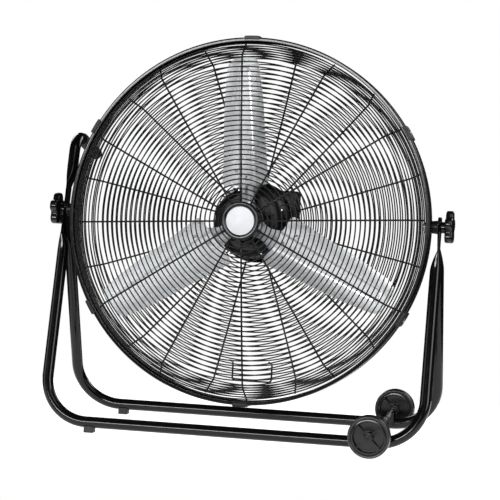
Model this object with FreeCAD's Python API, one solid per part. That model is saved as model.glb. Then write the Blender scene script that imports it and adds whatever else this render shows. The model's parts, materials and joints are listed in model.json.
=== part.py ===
"""Large tilting floor fan on a tubular rack with two transport wheels.

Millimetres, +Z up. The origin is on the floor, midway between the legs and under the
pivot axis. -Y is the side that the air leaves from, and the carrying handle is at -X.
Every function returns one sub-part, and build() writes one STEP file for each.
"""
import FreeCAD, Part
import math
import os

V = FreeCAD.Vector
X_AXIS = V(1, 0, 0)
Y_AXIS = V(0, 1, 0)

# Rack: two U-shaped tube frames that cross at the pivots.
TUBE_R = 12.5
TUBE_WALL = 1.6
LEG_X = 426.0
BEND_R = 100.0
RAIL_Y = 137.0
RAIL_Z = 22.0
PIVOT_Z = 485.0
FLAT_T = 3.2
FLAT_W = 36.0
FLAT_ABOVE = 23.0
FLAT_BELOW = 56.0
TRANSITION = 46.0
LAP_X = 428.0
BOLT_R = 5.0
RUNNING = 0.08

# Handle: the left tube of the front frame carries on over the pivot and turns back.
HANDLE_FLAT = 58.0
HANDLE_RISE = 182.6
HANDLE_BEND_R = 45.0
HANDLE_DROOP = 17.6
GRIP_LENGTH = 122.0
GRIP_WALL = 2.0
GRIP_END = 3.0
GRIP_ROUND = 1.8

# Feet, axle and wheels.
FOOT_X = -317.0
FOOT_L = 22.0
FOOT_W = 24.0
FOOT_GRIP = 5.0
FOOT_ROUND = 4.0
FOOT_SCREW_SUNK = 3.5
SCREW_HEAD_R = 4.2
SCREW_HEAD_T = 2.2
AXLE_X = 320.0
AXLE_R = 4.0
WHEEL_R = 46.0
WHEEL_Y = 200.5
WHEEL_W = 27.0
RIM_R = 39.0
AXLE_END = 220.0
BRACKET_T = 3.0
SADDLE_GAP = 0.35
BRACKET_W = 24.0
EAR_W = 16.0
BRACKET_HOLE_X = 7.5
CAP_R = 7.5
CAP_LID = 2.0
WASHER_R = 9.0
WASHER_T = 2.0
WHEEL_PLAY = 0.4
RIB_T = 4.0

# Head: the fan axis runs along Y through the hoop centre, and the head leans back a little.
HEAD_LEAN = 4.0
HOOP_FORWARD = 10.0
HOOP_DROP = 7.5
HOOP_R = 410.0
HOOP_DEPTH = 50.0
HOOP_LIP = 8.5
HOOP_WALL = 2.0
WIRE_R = 1.5
WIRE_SIDES = 8
SPOKE_R = 2.0
RIM_WIRE_R = 2.5
RING_PITCH = 10.8
SPOKES = 12
SPOKE_PHASE = 3.0
WELD_GAP = 0.05
CLIPS = 6
CLIP_PHASE = 31.0
CLIP_W = 34.0
CLIP_T = 3.5
SCREW_R = 2.1
HOOK_LOW = -366.0
HOOK_HIGH = -318.0
HOOK_HALF = 46.0
HOOK_OUT = 30.0
FRONT_HUB_Y = -78.0
FRONT_SHOULDER = (368.0, -66.0)
FRONT_RIM_Y = -20.4
REAR_HUB_Y = 92.0
REAR_SHOULDER = (372.0, 72.0)
REAR_RIM_Y = 20.4
GRILLE_RIM_R = 404.5
BADGE_R = 43.0
BADGE_DISC_R = 31.5
BADGE_FRONT_Y = -87.0

# Motor, behind the blades and bolted to the plate in the rear grille.
PLATE_R = 92.0
PLATE_T = 2.5
MOTOR_R = 86.0
MOTOR_FRONT_Y = 8.0
MOTOR_REAR_Y = 89.0
SHELL = 3.0
SHAFT_R = 8.0
SHAFT_TIP_Y = -50.0
MOTOR_MID_Y = (MOTOR_FRONT_Y + MOTOR_REAR_Y) / 2
FIXING_AT = 60.0
FIXING_PHASE = 75.0
FIXING_R = 3.0
FIN_COUNT = 36
VENT_COUNT = 12
CASE_WALL = 6.0
CASE_BOLT_AT = MOTOR_R - 9.5
STATOR_R = 56.0
ROTOR_R = 42.0
AIR_GAP = 0.5
STACK_HALF = 18.0
TEETH = 12
BEARING_R = 14.0
BEARING_W = 10.0

# Switch box on the back of the motor plate.
BOX_BACK_Y = REAR_HUB_Y + PLATE_T + 0.2
BOX_DEPTH = 42.0
BOX_LOW = (44.0, 5.0)
BOX_HIGH = (92.0, 75.0)
BOX_WALL = 2.5
BOX_ROUND = 4.0
DIAL_X = 68.0
DIAL_Z = 45.0
DIAL_R = 14.0
DIAL_T = 13.0
SPINDLE_R = 3.0
GLAND_Y = REAR_HUB_Y + 24.0
GLAND_R = 6.0
LEAD_R = 3.8

# Blades.
# Stations are (radius, chord, pitch in degrees, depth of the camber).
BLADE_TIP_R = 365.0
BLADE_ROOT_R = 80.0
BLADE_STATIONS = (
    (BLADE_ROOT_R, 140.0, 30.0, 8.0),
    (180.0, 120.0, 28.0, 8.0),
    (270.0, 106.0, 25.0, 7.0),
    (BLADE_TIP_R, 76.0, 22.0, 5.0),
)
BLADE_CORNER_R = 20.0
BLADE_T = 1.6
BLADE_Y = -26.0
SPIDER_T = 3.0
SPIDER_TIP_R = 157.0
SPIDER_BEHIND = 1.3
SPIDER_STATIONS = (
    (26.0, 44.0, 8.0, 0.5),
    (70.0, 46.0, 26.0, 2.0),
    (100.0, 80.0, 29.5, 3.0),
    (SPIDER_TIP_R, 56.0, 28.5, 2.0),
)
SPIDER_SAG = 7.0
# Rivets are (radius, distance to the side of the blade's middle line).
RIVETS = ((97.0, 0.0), (114.0, -31.0), (114.0, 31.0))
RIVET_PITCH = 29.0
RIVET_R = 2.4
RIVET_HEAD_R = 4.2
RIVET_TAIL_R = 3.8
RIVET_GRIP = BLADE_T + SPIDER_BEHIND + SPIDER_T
BLADE_ANGLES = (94.0, 214.0, 334.0)

# Pivot hardware.
PLATE_INSET = 10.5
PIVOT_PLATE_T = 3.0
BOLT_HEAD_R = 10.0
BOLT_HEAD_T = 4.5
BOSS_R = 15.0
KNOB_R = 37.5
KNOB_STEM_R = 12.5
KNOB_STEM_L = 10.0
KNOB_T = 17.0
KNOB_LOBES = 5
KNOB_ROUND = 3.5
NOTCH_R = 15.0
NOTCH_AT = 42.0
DIMPLE_R = 13.0

LEG_LENGTH = math.hypot(RAIL_Y, PIVOT_Z - RAIL_Z)
LEAN = math.atan2(RAIL_Y, PIVOT_Z - RAIL_Z)


# ---------------------------------------------------------------- helpers

def polar(radius, degrees):
    angle = math.radians(degrees)
    return radius * math.cos(angle), radius * math.sin(angle)


def cylinder(start, direction, radius, length):
    return Part.makeCylinder(radius, length, V(*start), V(*direction))


def block(low, high):
    size = [b - a for a, b in zip(low, high)]
    return Part.makeBox(size[0], size[1], size[2], V(*low))


def about_y(outline):
    """Solid of revolution about the Y axis from (radius, y) points."""
    points = [V(radius, y, 0) for radius, y in outline]
    face = Part.Face(Part.makePolygon(points + points[:1]))
    return face.revolve(V(0, 0, 0), Y_AXIS, 360)


def about_x(outline):
    """Solid of revolution about the X axis from (x, radius) points."""
    points = [V(x, radius, 0) for x, radius in outline]
    face = Part.Face(Part.makePolygon(points + points[:1]))
    return face.revolve(V(0, 0, 0), X_AXIS, 360)


def wire_ring(radius, y):
    """Ring of guard wire, drawn with eight flats whose section has the round wire's area."""
    step = 360 / WIRE_SIDES
    corner = WIRE_R * math.sqrt(math.radians(step) / math.sin(math.radians(step)))
    marks = [polar(corner, step * (side + 0.5)) for side in range(WIRE_SIDES)]
    return about_y([(radius + u, y + v) for u, v in marks])


def swept(path, radius):
    """Round bar along a wire of lines and arcs."""
    start = path.OrderedEdges[0]
    tangent = start.tangentAt(start.FirstParameter)
    circle = Part.makeCircle(radius, path.OrderedVertexes[0].Point, tangent)
    return path.makePipeShell([Part.Wire(circle)], True, False)


def rounded_path(points, radius):
    """Wire through points with one arc of the given radius at every inner point."""
    edges = []
    start = points[0]
    for before, corner, after in zip(points, points[1:], points[2:]):
        back = (before - corner).normalize()
        ahead = (after - corner).normalize()
        half = back.getAngle(ahead) / 2
        reach = radius / math.tan(half)
        enter = corner + back * reach
        leave = corner + ahead * reach
        centre = corner + (back + ahead).normalize() * (radius / math.sin(half))
        middle = centre + (corner - centre).normalize() * radius
        edges.append(Part.LineSegment(start, enter).toShape())
        edges.append(Part.Arc(enter, middle, leave).toShape())
        start = leave
    edges.append(Part.LineSegment(start, points[-1]).toShape())
    return Part.Wire(edges)


def group(shapes):
    return Part.makeCompound(shapes)


def in_fan(shape):
    """Move a shape from the fan's own axes to its place on the rack."""
    shape.translate(V(0, -HOOP_FORWARD, -HOOP_DROP))
    shape.rotate(V(0, 0, 0), X_AXIS, -HEAD_LEAN)
    shape.translate(V(0, 0, PIVOT_Z))
    return shape


def around_fan(shape, degrees):
    """Turn about the fan axis: positive runs from +X towards +Z."""
    shape.rotate(V(0, 0, 0), Y_AXIS, -degrees)
    return shape


# ---------------------------------------------------------------- rack

def leg_point(facing, x, rise):
    """Point on a frame's plane, rise millimetres up the leg from the rail."""
    y = facing * RAIL_Y * (1 - rise / LEG_LENGTH)
    return V(x, y, RAIL_Z + rise * math.cos(LEAN))


def leg_along(facing):
    return V(0, -facing * math.sin(LEAN), math.cos(LEAN))


def leg_across(facing):
    return V(0, math.cos(LEAN), facing * math.sin(LEAN))


def round_wire(centre, across, radius):
    """Circle as four arcs, whose joints line up with the corners of a flat section."""
    arcs = []
    for turn in range(4):
        marks = [turn * 90 - 45, turn * 90, turn * 90 + 45]
        spots = []
        for mark in marks:
            u, v = polar(radius, mark)
            spots.append(centre + X_AXIS * u + across * v)
        arcs.append(Part.Arc(*spots).toShape())
    return Part.Wire(arcs)


def flat_wire(centre, across, thickness, width):
    """Flattened tube section: two long walls joined by half-round edges."""
    half = width / 2 - thickness / 2
    side = thickness / 2
    corners = [(side, -half), (side, half), (-side, half), (-side, -half)]
    spots = [centre + X_AXIS * u + across * v for u, v in corners]
    top = centre + across * (width / 2)
    bottom = centre - across * (width / 2)
    edges = [
        Part.LineSegment(spots[0], spots[1]).toShape(),
        Part.Arc(spots[1], top, spots[2]).toShape(),
        Part.LineSegment(spots[2], spots[3]).toShape(),
        Part.Arc(spots[3], bottom, spots[0]).toShape(),
    ]
    return Part.Wire(edges)


def flattened_end(facing, lap, first, last, closed_top):
    """Flattened run of a leg, between two heights up it, with lap the X of its middle."""
    along = leg_along(facing)
    across = leg_across(facing)
    low = leg_point(facing, lap, first)
    section = Part.Face(flat_wire(low, across, FLAT_T, FLAT_W))
    flat = section.extrude(along * (last - first))
    if closed_top:
        inset = last - FLAT_W / 2
        tip = leg_point(facing, lap - FLAT_T, inset)
        round_end = Part.makeCylinder(FLAT_W / 2, 2 * FLAT_T, tip, X_AXIS)
        keep = Part.Face(flat_wire(low, across, 2 * FLAT_T, FLAT_W + 1))
        keep = keep.extrude(along * (inset - first))
        flat = flat.common(keep.fuse(round_end))
    return flat


def transition(facing, lap, flat_at, round_at):
    across = leg_across(facing)
    flat = flat_wire(leg_point(facing, lap, flat_at), across, FLAT_T, FLAT_W)
    side = math.copysign(LEG_X, lap)
    circle = round_wire(leg_point(facing, side, round_at), across, TUBE_R)
    return Part.makeLoft([circle, flat], True, True)


def frame_tube(facing, handle):
    """U frame: a rail with two legs, flattened where they meet the pivots."""
    flat_low = LEG_LENGTH - FLAT_BELOW
    round_top = flat_low - TRANSITION
    flat_high = LEG_LENGTH + FLAT_ABOVE
    lap_offset = FLAT_T / 2 if facing < 0 else -FLAT_T / 2
    corners = [
        leg_point(facing, -LEG_X, round_top),
        leg_point(facing, -LEG_X, 0),
        leg_point(facing, LEG_X, 0),
        leg_point(facing, LEG_X, round_top),
    ]
    path = rounded_path(corners, BEND_R)
    body = swept(path, TUBE_R).cut(swept(path, TUBE_R - TUBE_WALL))
    pieces = []
    for side in (-1, 1):
        lap = side * (LAP_X + lap_offset)
        rising = handle and side < 0
        last = LEG_LENGTH + HANDLE_FLAT if rising else flat_high
        pieces.append(flattened_end(facing, lap, flat_low, last, not rising))
        pieces.append(transition(facing, lap, flat_low, round_top))
    if handle:
        pieces.extend(handle_tube())
    body = body.fuse(pieces)
    bolt = cylinder((-2 * LAP_X, 0, PIVOT_Z), (1, 0, 0), BOLT_R + RUNNING, 4 * LAP_X)
    return body.cut(bolt).removeSplitter()


def handle_points():
    """Corners of the handle's centre line, from the flat below it to its free end."""
    start = leg_point(-1, -LEG_X, LEG_LENGTH + HANDLE_FLAT + TRANSITION)
    corner = leg_point(-1, -LEG_X, LEG_LENGTH + HANDLE_RISE)
    droop = math.radians(HANDLE_DROOP)
    heading = V(0, math.cos(droop), -math.sin(droop))
    turn = math.pi / 2 - LEAN + droop
    reach = HANDLE_BEND_R * math.tan(turn / 2)
    return start, corner, heading, reach


def handle_tube():
    start, corner, heading, reach = handle_points()
    end = corner + heading * (reach + GRIP_LENGTH - GRIP_END)
    path = rounded_path([start, corner, end], HANDLE_BEND_R)
    lap = -(LAP_X + FLAT_T / 2)
    flat_top = LEG_LENGTH + HANDLE_FLAT
    neck = transition(-1, lap, flat_top, flat_top + TRANSITION)
    return [neck, swept(path, TUBE_R).cut(swept(path, TUBE_R - TUBE_WALL))]


def handle_grip():
    """Rubber sleeve over the end of the handle, closed at its free end."""
    _, corner, heading, reach = handle_points()
    start = corner + heading * reach
    outer = Part.makeCylinder(TUBE_R + GRIP_WALL, GRIP_LENGTH, start, heading)
    outer = outer.makeFillet(GRIP_ROUND, [outer.Edges[0], outer.Edges[2]])
    hole = Part.makeCylinder(TUBE_R, GRIP_LENGTH - GRIP_END, start, heading)
    return outer.cut(hole)


def foot(facing):
    """Rubber foot that clips round the underside of a rail."""
    y = facing * RAIL_Y
    low = (FOOT_X - FOOT_L / 2, y - FOOT_W / 2, 0)
    high = (FOOT_X + FOOT_L / 2, y + FOOT_W / 2, RAIL_Z - TUBE_R + FOOT_GRIP)
    pad = block(low, high)
    upright = [edge for edge in pad.Edges if abs(edge.tangentAt(0).z) > 0.9]
    pad = pad.makeFillet(FOOT_ROUND, upright)
    seat = cylinder((FOOT_X - FOOT_L, y, RAIL_Z), (1, 0, 0), TUBE_R, 2 * FOOT_L)
    screw = cylinder((FOOT_X, y, -1), (0, 0, 1), SCREW_R, RAIL_Z)
    recess = cylinder((FOOT_X, y, -1), (0, 0, 1), SCREW_HEAD_R + 0.4, FOOT_SCREW_SUNK + 1)
    return pad.cut([seat, screw, recess])


def foot_screws():
    screws = []
    for facing in (-1, 1):
        y = facing * RAIL_Y
        low = FOOT_SCREW_SUNK - SCREW_HEAD_T
        shank = cylinder((FOOT_X, y, low), (0, 0, 1), SCREW_R, RAIL_Z - TUBE_R - low)
        head = cylinder((FOOT_X, y, low), (0, 0, 1), SCREW_HEAD_R, SCREW_HEAD_T)
        screws.append(shank.fuse(head))
    return group(screws)


def axle_bracket(facing):
    """Saddle over the rail whose two ears rise to carry the axle."""
    y = facing * RAIL_Y
    outer_r = TUBE_R + BRACKET_T
    slot_half = TUBE_R - 1
    wide = 4 * BRACKET_W
    saddle = cylinder((AXLE_X - BRACKET_W / 2, y, RAIL_Z), (1, 0, 0), outer_r, BRACKET_W)
    below = block((AXLE_X - wide, y - wide, -wide), (AXLE_X + wide, y + wide, RAIL_Z - 4))
    tower = block((AXLE_X - EAR_W / 2, y - outer_r, RAIL_Z), (AXLE_X + EAR_W / 2, y + outer_r, WHEEL_R))
    crown = cylinder((AXLE_X, y - outer_r, WHEEL_R), (0, 1, 0), EAR_W / 2, 2 * outer_r)
    body = saddle.cut(below).fuse([tower, crown])
    tube = cylinder((AXLE_X - wide, y, RAIL_Z), (1, 0, 0), TUBE_R + SADDLE_GAP, 2 * wide)
    slot_low = (AXLE_X - EAR_W, y - slot_half, RAIL_Z + outer_r)
    slot = block(slot_low, (AXLE_X + EAR_W, y + slot_half, 2 * WHEEL_R))
    bore = cylinder((AXLE_X, y - wide, WHEEL_R), (0, 1, 0), AXLE_R, 2 * wide)
    holes = []
    for dx in (-BRACKET_HOLE_X, BRACKET_HOLE_X):
        holes.append(cylinder((AXLE_X + dx, y - wide, RAIL_Z), (0, 1, 0), SCREW_R, 2 * wide))
    return body.cut([tube, slot, bore] + holes)


def bracket_screws():
    """Self-tapping screws through the cheeks of both axle brackets."""
    screws = []
    for facing in (-1, 1):
        for dx in (-BRACKET_HOLE_X, BRACKET_HOLE_X):
            for cheek in (-1, 1):
                base = facing * RAIL_Y + cheek * (TUBE_R + BRACKET_T)
                shank = cylinder((AXLE_X + dx, base, RAIL_Z), (0, -cheek, 0), SCREW_R, BRACKET_T)
                head = cylinder((AXLE_X + dx, base, RAIL_Z), (0, cheek, 0), SCREW_HEAD_R, SCREW_HEAD_T)
                screws.append(shank.fuse(head))
    return group(screws)


def wheel_axle():
    reach = AXLE_END - CAP_LID
    return cylinder((AXLE_X, -reach, WHEEL_R), (0, 1, 0), AXLE_R, 2 * reach)


def axle_collar(y_low, y_high, radius):
    ring = cylinder((AXLE_X, y_low, WHEEL_R), (0, 1, 0), radius, y_high - y_low)
    return ring.cut(cylinder((AXLE_X, y_low - 1, WHEEL_R), (0, 1, 0), AXLE_R, y_high - y_low + 2))


def axle_caps():
    """Push caps on both ends of the axle."""
    caps = []
    inner = WHEEL_Y + WHEEL_W / 2 + WHEEL_PLAY
    for side in (-1, 1):
        low, high = sorted((side * inner, side * (AXLE_END - CAP_LID)))
        skirt = axle_collar(low, high, CAP_R)
        low, high = sorted((side * (AXLE_END - CAP_LID), side * AXLE_END))
        lid = cylinder((AXLE_X, low, WHEEL_R), (0, 1, 0), CAP_R, high - low)
        caps.append(skirt.fuse(lid).removeSplitter())
    return group(caps)


def axle_washers():
    """Steel washers between the wheels and the crimps in the axle."""
    washers = []
    outer = WHEEL_Y - WHEEL_W / 2 - WHEEL_PLAY
    for side in (-1, 1):
        low, high = sorted((side * outer, side * (outer - WASHER_T)))
        washers.append(axle_collar(low, high, WASHER_R))
    return group(washers)


def wheel_disc(facing):
    """Moulded wheel: hub, dished web with four ribs on each face, and rim."""
    half = WHEEL_W / 2
    rim = about_y([(RIM_R - 5, -half + 1), (RIM_R, -half + 2), (RIM_R, half - 2), (RIM_R - 5, half - 1)])
    web = about_y([(7, -2.5), (RIM_R - 4, -2.5), (RIM_R - 4, 2.5), (7, 2.5)])
    hub = Part.makeCylinder(10, WHEEL_W, V(0, -half, 0), Y_AXIS)
    body = rim.fuse([web, hub])
    for turn in range(4):
        rib = block((6, -half + 3, -RIB_T / 2), (RIM_R - 3, half - 3, RIB_T / 2))
        rib.rotate(V(0, 0, 0), Y_AXIS, 45 + 90 * turn)
        body = body.fuse(rib)
    bore = Part.makeCylinder(AXLE_R + RUNNING, WHEEL_W + 2, V(0, -half - 1, 0), Y_AXIS)
    body = body.cut(bore)
    body.translate(V(AXLE_X, facing * WHEEL_Y, WHEEL_R))
    return body


def wheel_tyre(facing):
    """Hard rubber band round the wheel."""
    half = WHEEL_W / 2
    outline = [
        (RIM_R, -half + 2), (WHEEL_R - 3, -half), (WHEEL_R - 1, -half + 1),
        (WHEEL_R, -half + 4), (WHEEL_R, half - 4), (WHEEL_R - 1, half - 1),
        (WHEEL_R - 3, half), (RIM_R, half - 2),
    ]
    tyre = about_y(outline)
    tyre.translate(V(AXLE_X, facing * WHEEL_Y, WHEEL_R))
    return tyre


# ---------------------------------------------------------------- pivots

def at_pivot(shape):
    shape.translate(V(0, 0, PIVOT_Z))
    return shape


def pivot_spacer(side):
    """Moulded boss that keeps the hoop clear of the frames."""
    inner = HOOP_R - 4
    outer = LAP_X - FLAT_T - 1.3
    boss = about_x([(inner, BOLT_R), (inner, BOSS_R - 2), (outer, BOSS_R), (outer, BOLT_R)])
    seat = Part.makeCylinder(HOOP_R, 200, V(0, -100, 0), Y_AXIS)
    boss = in_fan_at_pivot(boss, side)
    return boss.cut(in_fan(seat))


def in_fan_at_pivot(shape, side):
    """Mirror a +X pivot piece to its side and lean it back with the head."""
    if side < 0:
        shape = shape.mirror(V(0, 0, 0), X_AXIS)
    shape.rotate(V(0, 0, 0), X_AXIS, -HEAD_LEAN)
    return at_pivot(shape)


def pivot_plate(side):
    """Steel backing plate inside the hoop, drilled for the pivot bolt."""
    inner = HOOP_R - HOOP_WALL - PLATE_INSET
    plate = block((inner, -13, -14), (inner + PIVOT_PLATE_T, 9, 14))
    plate = plate.cut(cylinder((inner - 5, 0, 0), (1, 0, 0), BOLT_R, PLATE_INSET))
    return in_fan_at_pivot(plate, side)


def pivot_bolt(side):
    """Carriage bolt through backing plate, hoop, spacer and both frame ends."""
    inner = HOOP_R - HOOP_WALL - PLATE_INSET
    tip = LAP_X + FLAT_T + KNOB_STEM_L + 9
    shank = cylinder((inner - 2, 0, 0), (1, 0, 0), BOLT_R, tip - inner + 2)
    head = cylinder((inner - BOLT_HEAD_T, 0, 0), (1, 0, 0), BOLT_HEAD_R, BOLT_HEAD_T)
    return in_fan_at_pivot(shank.fuse(head), side)


def friction_washers():
    """Fibre washers between the spacers and the inner frame ends."""
    washers = []
    for side in (-1, 1):
        outer = LAP_X - FLAT_T
        bore = BOLT_R + RUNNING
        ring = about_x([(outer - 1, bore), (outer - 1, BOSS_R), (outer, BOSS_R), (outer, bore)])
        if side < 0:
            ring = ring.mirror(V(0, 0, 0), X_AXIS)
        washers.append(at_pivot(ring))
    return group(washers)


def star_knob(side):
    """Five-lobed clamping knob with a round stem, bored for the pivot bolt."""
    stem_in = LAP_X + FLAT_T + 0.3
    head_in = stem_in + KNOB_STEM_L
    head_out = head_in + KNOB_T
    stem = cylinder((stem_in, 0, 0), (1, 0, 0), KNOB_STEM_R, KNOB_STEM_L + 2)
    disc = cylinder((head_in, 0, 0), (1, 0, 0), KNOB_R, KNOB_T)
    disc = disc.makeFillet(KNOB_ROUND, [edge for edge in disc.Edges if edge.BoundBox.XLength < 0.01])
    for lobe in range(KNOB_LOBES):
        y, z = polar(NOTCH_AT, 360 / KNOB_LOBES * (lobe + 0.5) + 90)
        disc = disc.cut(cylinder((head_in - 1, y, z), (1, 0, 0), NOTCH_R, KNOB_T + 2))
    dimple = cylinder((head_out - 2, 0, 0), (1, 0, 0), DIMPLE_R, 5)
    bore = cylinder((stem_in - 1, 0, 0), (1, 0, 0), BOLT_R + RUNNING, KNOB_STEM_L + 10)
    knob = stem.fuse(disc).cut([dimple, bore])
    return in_fan_at_pivot(knob, side)


# ---------------------------------------------------------------- hoop and grilles

def trim_hoop():
    """Rolled channel that holds the rims of both grilles."""
    half = HOOP_DEPTH / 2
    lip = HOOP_R - HOOP_LIP
    web = HOOP_R - HOOP_WALL
    outline = [
        (lip, -half), (HOOP_R - 3, -half), (HOOP_R - 0.8, -half + 0.8),
        (HOOP_R, -half + 3), (HOOP_R, half - 3), (HOOP_R - 0.8, half - 0.8),
        (HOOP_R - 3, half), (lip, half), (lip, half - HOOP_WALL),
        (web, half - HOOP_WALL), (web, -half + HOOP_WALL), (lip, -half + HOOP_WALL),
    ]
    hoop = about_y(outline)
    bolt = cylinder((-2 * HOOP_R, HOOP_FORWARD, HOOP_DROP), (1, 0, 0), BOLT_R, 4 * HOOP_R)
    for turn in range(CLIPS):
        screw = cylinder((lip, 0, 0), (1, 0, 0), SCREW_R, 2 * HOOP_LIP)
        hoop = hoop.cut(around_fan(screw, clip_angle(turn)))
    return hoop.cut(bolt)


def clip_angle(turn):
    return CLIP_PHASE + 360 / CLIPS * turn


def grille_profile(hub_y, shoulder, rim_y):
    """Corner points (radius, y) of a grille from its hub to its rim."""
    return [(BADGE_R + 4, hub_y), shoulder, (GRILLE_RIM_R - RIM_WIRE_R - WIRE_R, rim_y)]


def face_height(radius, profile):
    """Y of the shallow dome between the hub and the shoulder."""
    (inner, low), (outer, high), _ = profile
    part = (radius - inner) / (outer - inner)
    return low + (high - low) * part * part


def face_rings(profile, first):
    """Rings over the face, which stop clear of the first ring of the shoulder."""
    rings = []
    radius = first
    while radius < profile[1][0] - RING_PITCH / 2:
        rings.append(wire_ring(radius, face_height(radius, profile)))
        radius += RING_PITCH
    return group(rings)


def shoulder_rings(profile):
    """Rings down the steep shoulder between the face and the rim."""
    _, (r_top, y_top), (r_low, y_low) = profile
    run = math.hypot(r_low - r_top, y_low - y_top)
    steps = int(run / (RING_PITCH * 0.8))
    rings = []
    for step in range(steps):
        part = step / steps
        rings.append(wire_ring(r_top + (r_low - r_top) * part, y_top + (y_low - y_top) * part))
    return group(rings)


def grille_spokes(profile, first_r, inward, phase):
    """Radial wires behind the rings, bent over the shoulder and ending at the rim."""
    _, (r_top, y_top), (r_low, y_low) = profile
    sink = WIRE_R + SPOKE_R + WELD_GAP
    drop = inward * sink
    slope = math.atan2(abs(y_top - y_low), r_low - r_top)
    knee = sink / math.tan((math.pi - slope) / 2)
    middle = (first_r + r_top) / 2
    points = [
        V(first_r, face_height(first_r, profile) + drop, 0),
        V(middle, face_height(middle, profile) + drop, 0),
        V(r_top - knee, y_top + drop, 0),
        V(r_low - sink * math.sin(slope), y_low + drop * math.cos(slope), 0),
    ]
    arms = [cylinder(a, b - a, SPOKE_R, (b - a).Length) for a, b in zip(points, points[1:])]
    knees = [Part.makeSphere(SPOKE_R, point) for point in points[1:-1]]
    wire = arms[0].fuse(arms[1:] + knees)
    return group([around_fan(wire.copy(), phase + 360 / SPOKES * spoke) for spoke in range(SPOKES)])


def grille_rim(y):
    return Part.makeTorus(GRILLE_RIM_R - 1, RIM_WIRE_R, V(0, y, 0), Y_AXIS)


def badge_ring():
    """Moulded bezel that grips the innermost ring of the front grille."""
    front = BADGE_FRONT_Y
    back = FRONT_HUB_Y + WIRE_R + 5
    outline = [
        (BADGE_DISC_R, front + 3), (BADGE_DISC_R + 3, front),
        (BADGE_R - 3, front), (BADGE_R, front + 4), (BADGE_R, back),
        (BADGE_DISC_R - 6, back), (BADGE_DISC_R - 6, back - 2.5), (BADGE_DISC_R, back - 2.5),
    ]
    return about_y(outline)


def badge_disc():
    """Plain metal disc set into the bezel."""
    back = FRONT_HUB_Y + WIRE_R + 2.5
    front = BADGE_FRONT_Y + 2
    edge = BADGE_DISC_R - 0.1
    return about_y([(0, front - 0.8), (edge / 2, front - 0.5), (edge, front), (edge, back), (0, back)])


def grille_clips():
    """Moulded clips over the hoop that hold both grilles in it."""
    clips = []
    half = HOOP_DEPTH / 2
    core = Part.makeCylinder(HOOP_R, HOOP_DEPTH, V(0, -half, 0), Y_AXIS)
    shell = block((HOOP_R - 5, -half - 2, -CLIP_W / 2), (HOOP_R + CLIP_T, half + 2, CLIP_W / 2))
    screw = cylinder((HOOP_R - 10, 0, 0), (1, 0, 0), SCREW_R, 20)
    clip = shell.cut([core, screw])
    for turn in range(CLIPS):
        clips.append(around_fan(clip.copy(), clip_angle(turn)))
    return group(clips)


def clip_screws():
    screws = []
    for turn in range(CLIPS):
        shank = cylinder((HOOP_R - HOOP_WALL, 0, 0), (1, 0, 0), SCREW_R, HOOP_WALL + CLIP_T)
        head = cylinder((HOOP_R + CLIP_T, 0, 0), (1, 0, 0), SCREW_HEAD_R, SCREW_HEAD_T)
        screws.append(around_fan(shank.fuse(head), clip_angle(turn)))
    return group(screws)


def cord_hook():
    """Bent wire on the back of the rear grille that the supply lead is wound on."""
    y_in = REAR_HUB_Y + WIRE_R - 4
    y_out = y_in + HOOK_OUT + 6
    bend = HOOK_HIGH - 6
    points = [
        V(-HOOK_HALF, y_in, HOOK_HIGH), V(-HOOK_HALF, y_out, bend), V(-HOOK_HALF, y_out, HOOK_LOW),
        V(HOOK_HALF, y_out, HOOK_LOW), V(HOOK_HALF, y_out, bend), V(HOOK_HALF, y_in, HOOK_HIGH),
    ]
    return swept(rounded_path(points, 7), SPOKE_R)


# ---------------------------------------------------------------- motor

def fixing_spots():
    return [polar(FIXING_AT, FIXING_PHASE + 90 * turn) for turn in range(4)]


def motor_plate():
    """Pressed plate in the middle of the rear grille."""
    plate = Part.makeCylinder(PLATE_R, PLATE_T, V(0, REAR_HUB_Y, 0), Y_AXIS)
    holes = [cylinder((0, REAR_HUB_Y - 5, 0), (0, 1, 0), 22, 20)]
    for x, z in fixing_spots():
        holes.append(cylinder((x, REAR_HUB_Y - 5, z), (0, 1, 0), FIXING_R, 20))
    return plate.cut(holes)


def plate_screws():
    screws = []
    start = MOTOR_REAR_Y - SHELL
    outside = REAR_HUB_Y + PLATE_T
    for x, z in fixing_spots():
        shank = cylinder((x, start, z), (0, 1, 0), FIXING_R, outside - start)
        head = cylinder((x, outside, z), (0, 1, 0), 5.5, 4)
        screws.append(shank.fuse(head))
    return group(screws)


def case_outline(end, out):
    """Half section of one case half, from its bearing seat to the middle of the motor."""
    flat = end - out * SHELL
    wall = MOTOR_R - CASE_WALL
    return [
        (SHAFT_R + 1, end), (30, end), (34, flat), (MOTOR_R - 22, flat),
        (MOTOR_R - 8, end - out * 9), (MOTOR_R - 3, end - out * 20), (MOTOR_R - 3, MOTOR_MID_Y),
        (wall, MOTOR_MID_Y), (wall, end - out * 20), (MOTOR_R - 24, flat - out * 4),
        (BEARING_R + 4, flat - out * 4), (BEARING_R + 4, end - out * 14),
        (BEARING_R, end - out * 14), (BEARING_R, flat), (SHAFT_R + 1, flat),
    ]


def cooling_fins(end, out):
    fins = []
    low, high = sorted((end - out * 12, MOTOR_MID_Y))
    for turn in range(FIN_COUNT):
        fin = block((MOTOR_R - 5, low, -1), (MOTOR_R, high, 1))
        fins.append(around_fan(fin, 360 / FIN_COUNT * turn))
    return fins


def end_vents(end):
    vents = []
    for turn in range(VENT_COUNT):
        vent = block((38, end - 12, -3), (58, end + 12, 3))
        vents.append(around_fan(vent, 360 / VENT_COUNT * (turn + 0.5)))
    return vents


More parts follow.
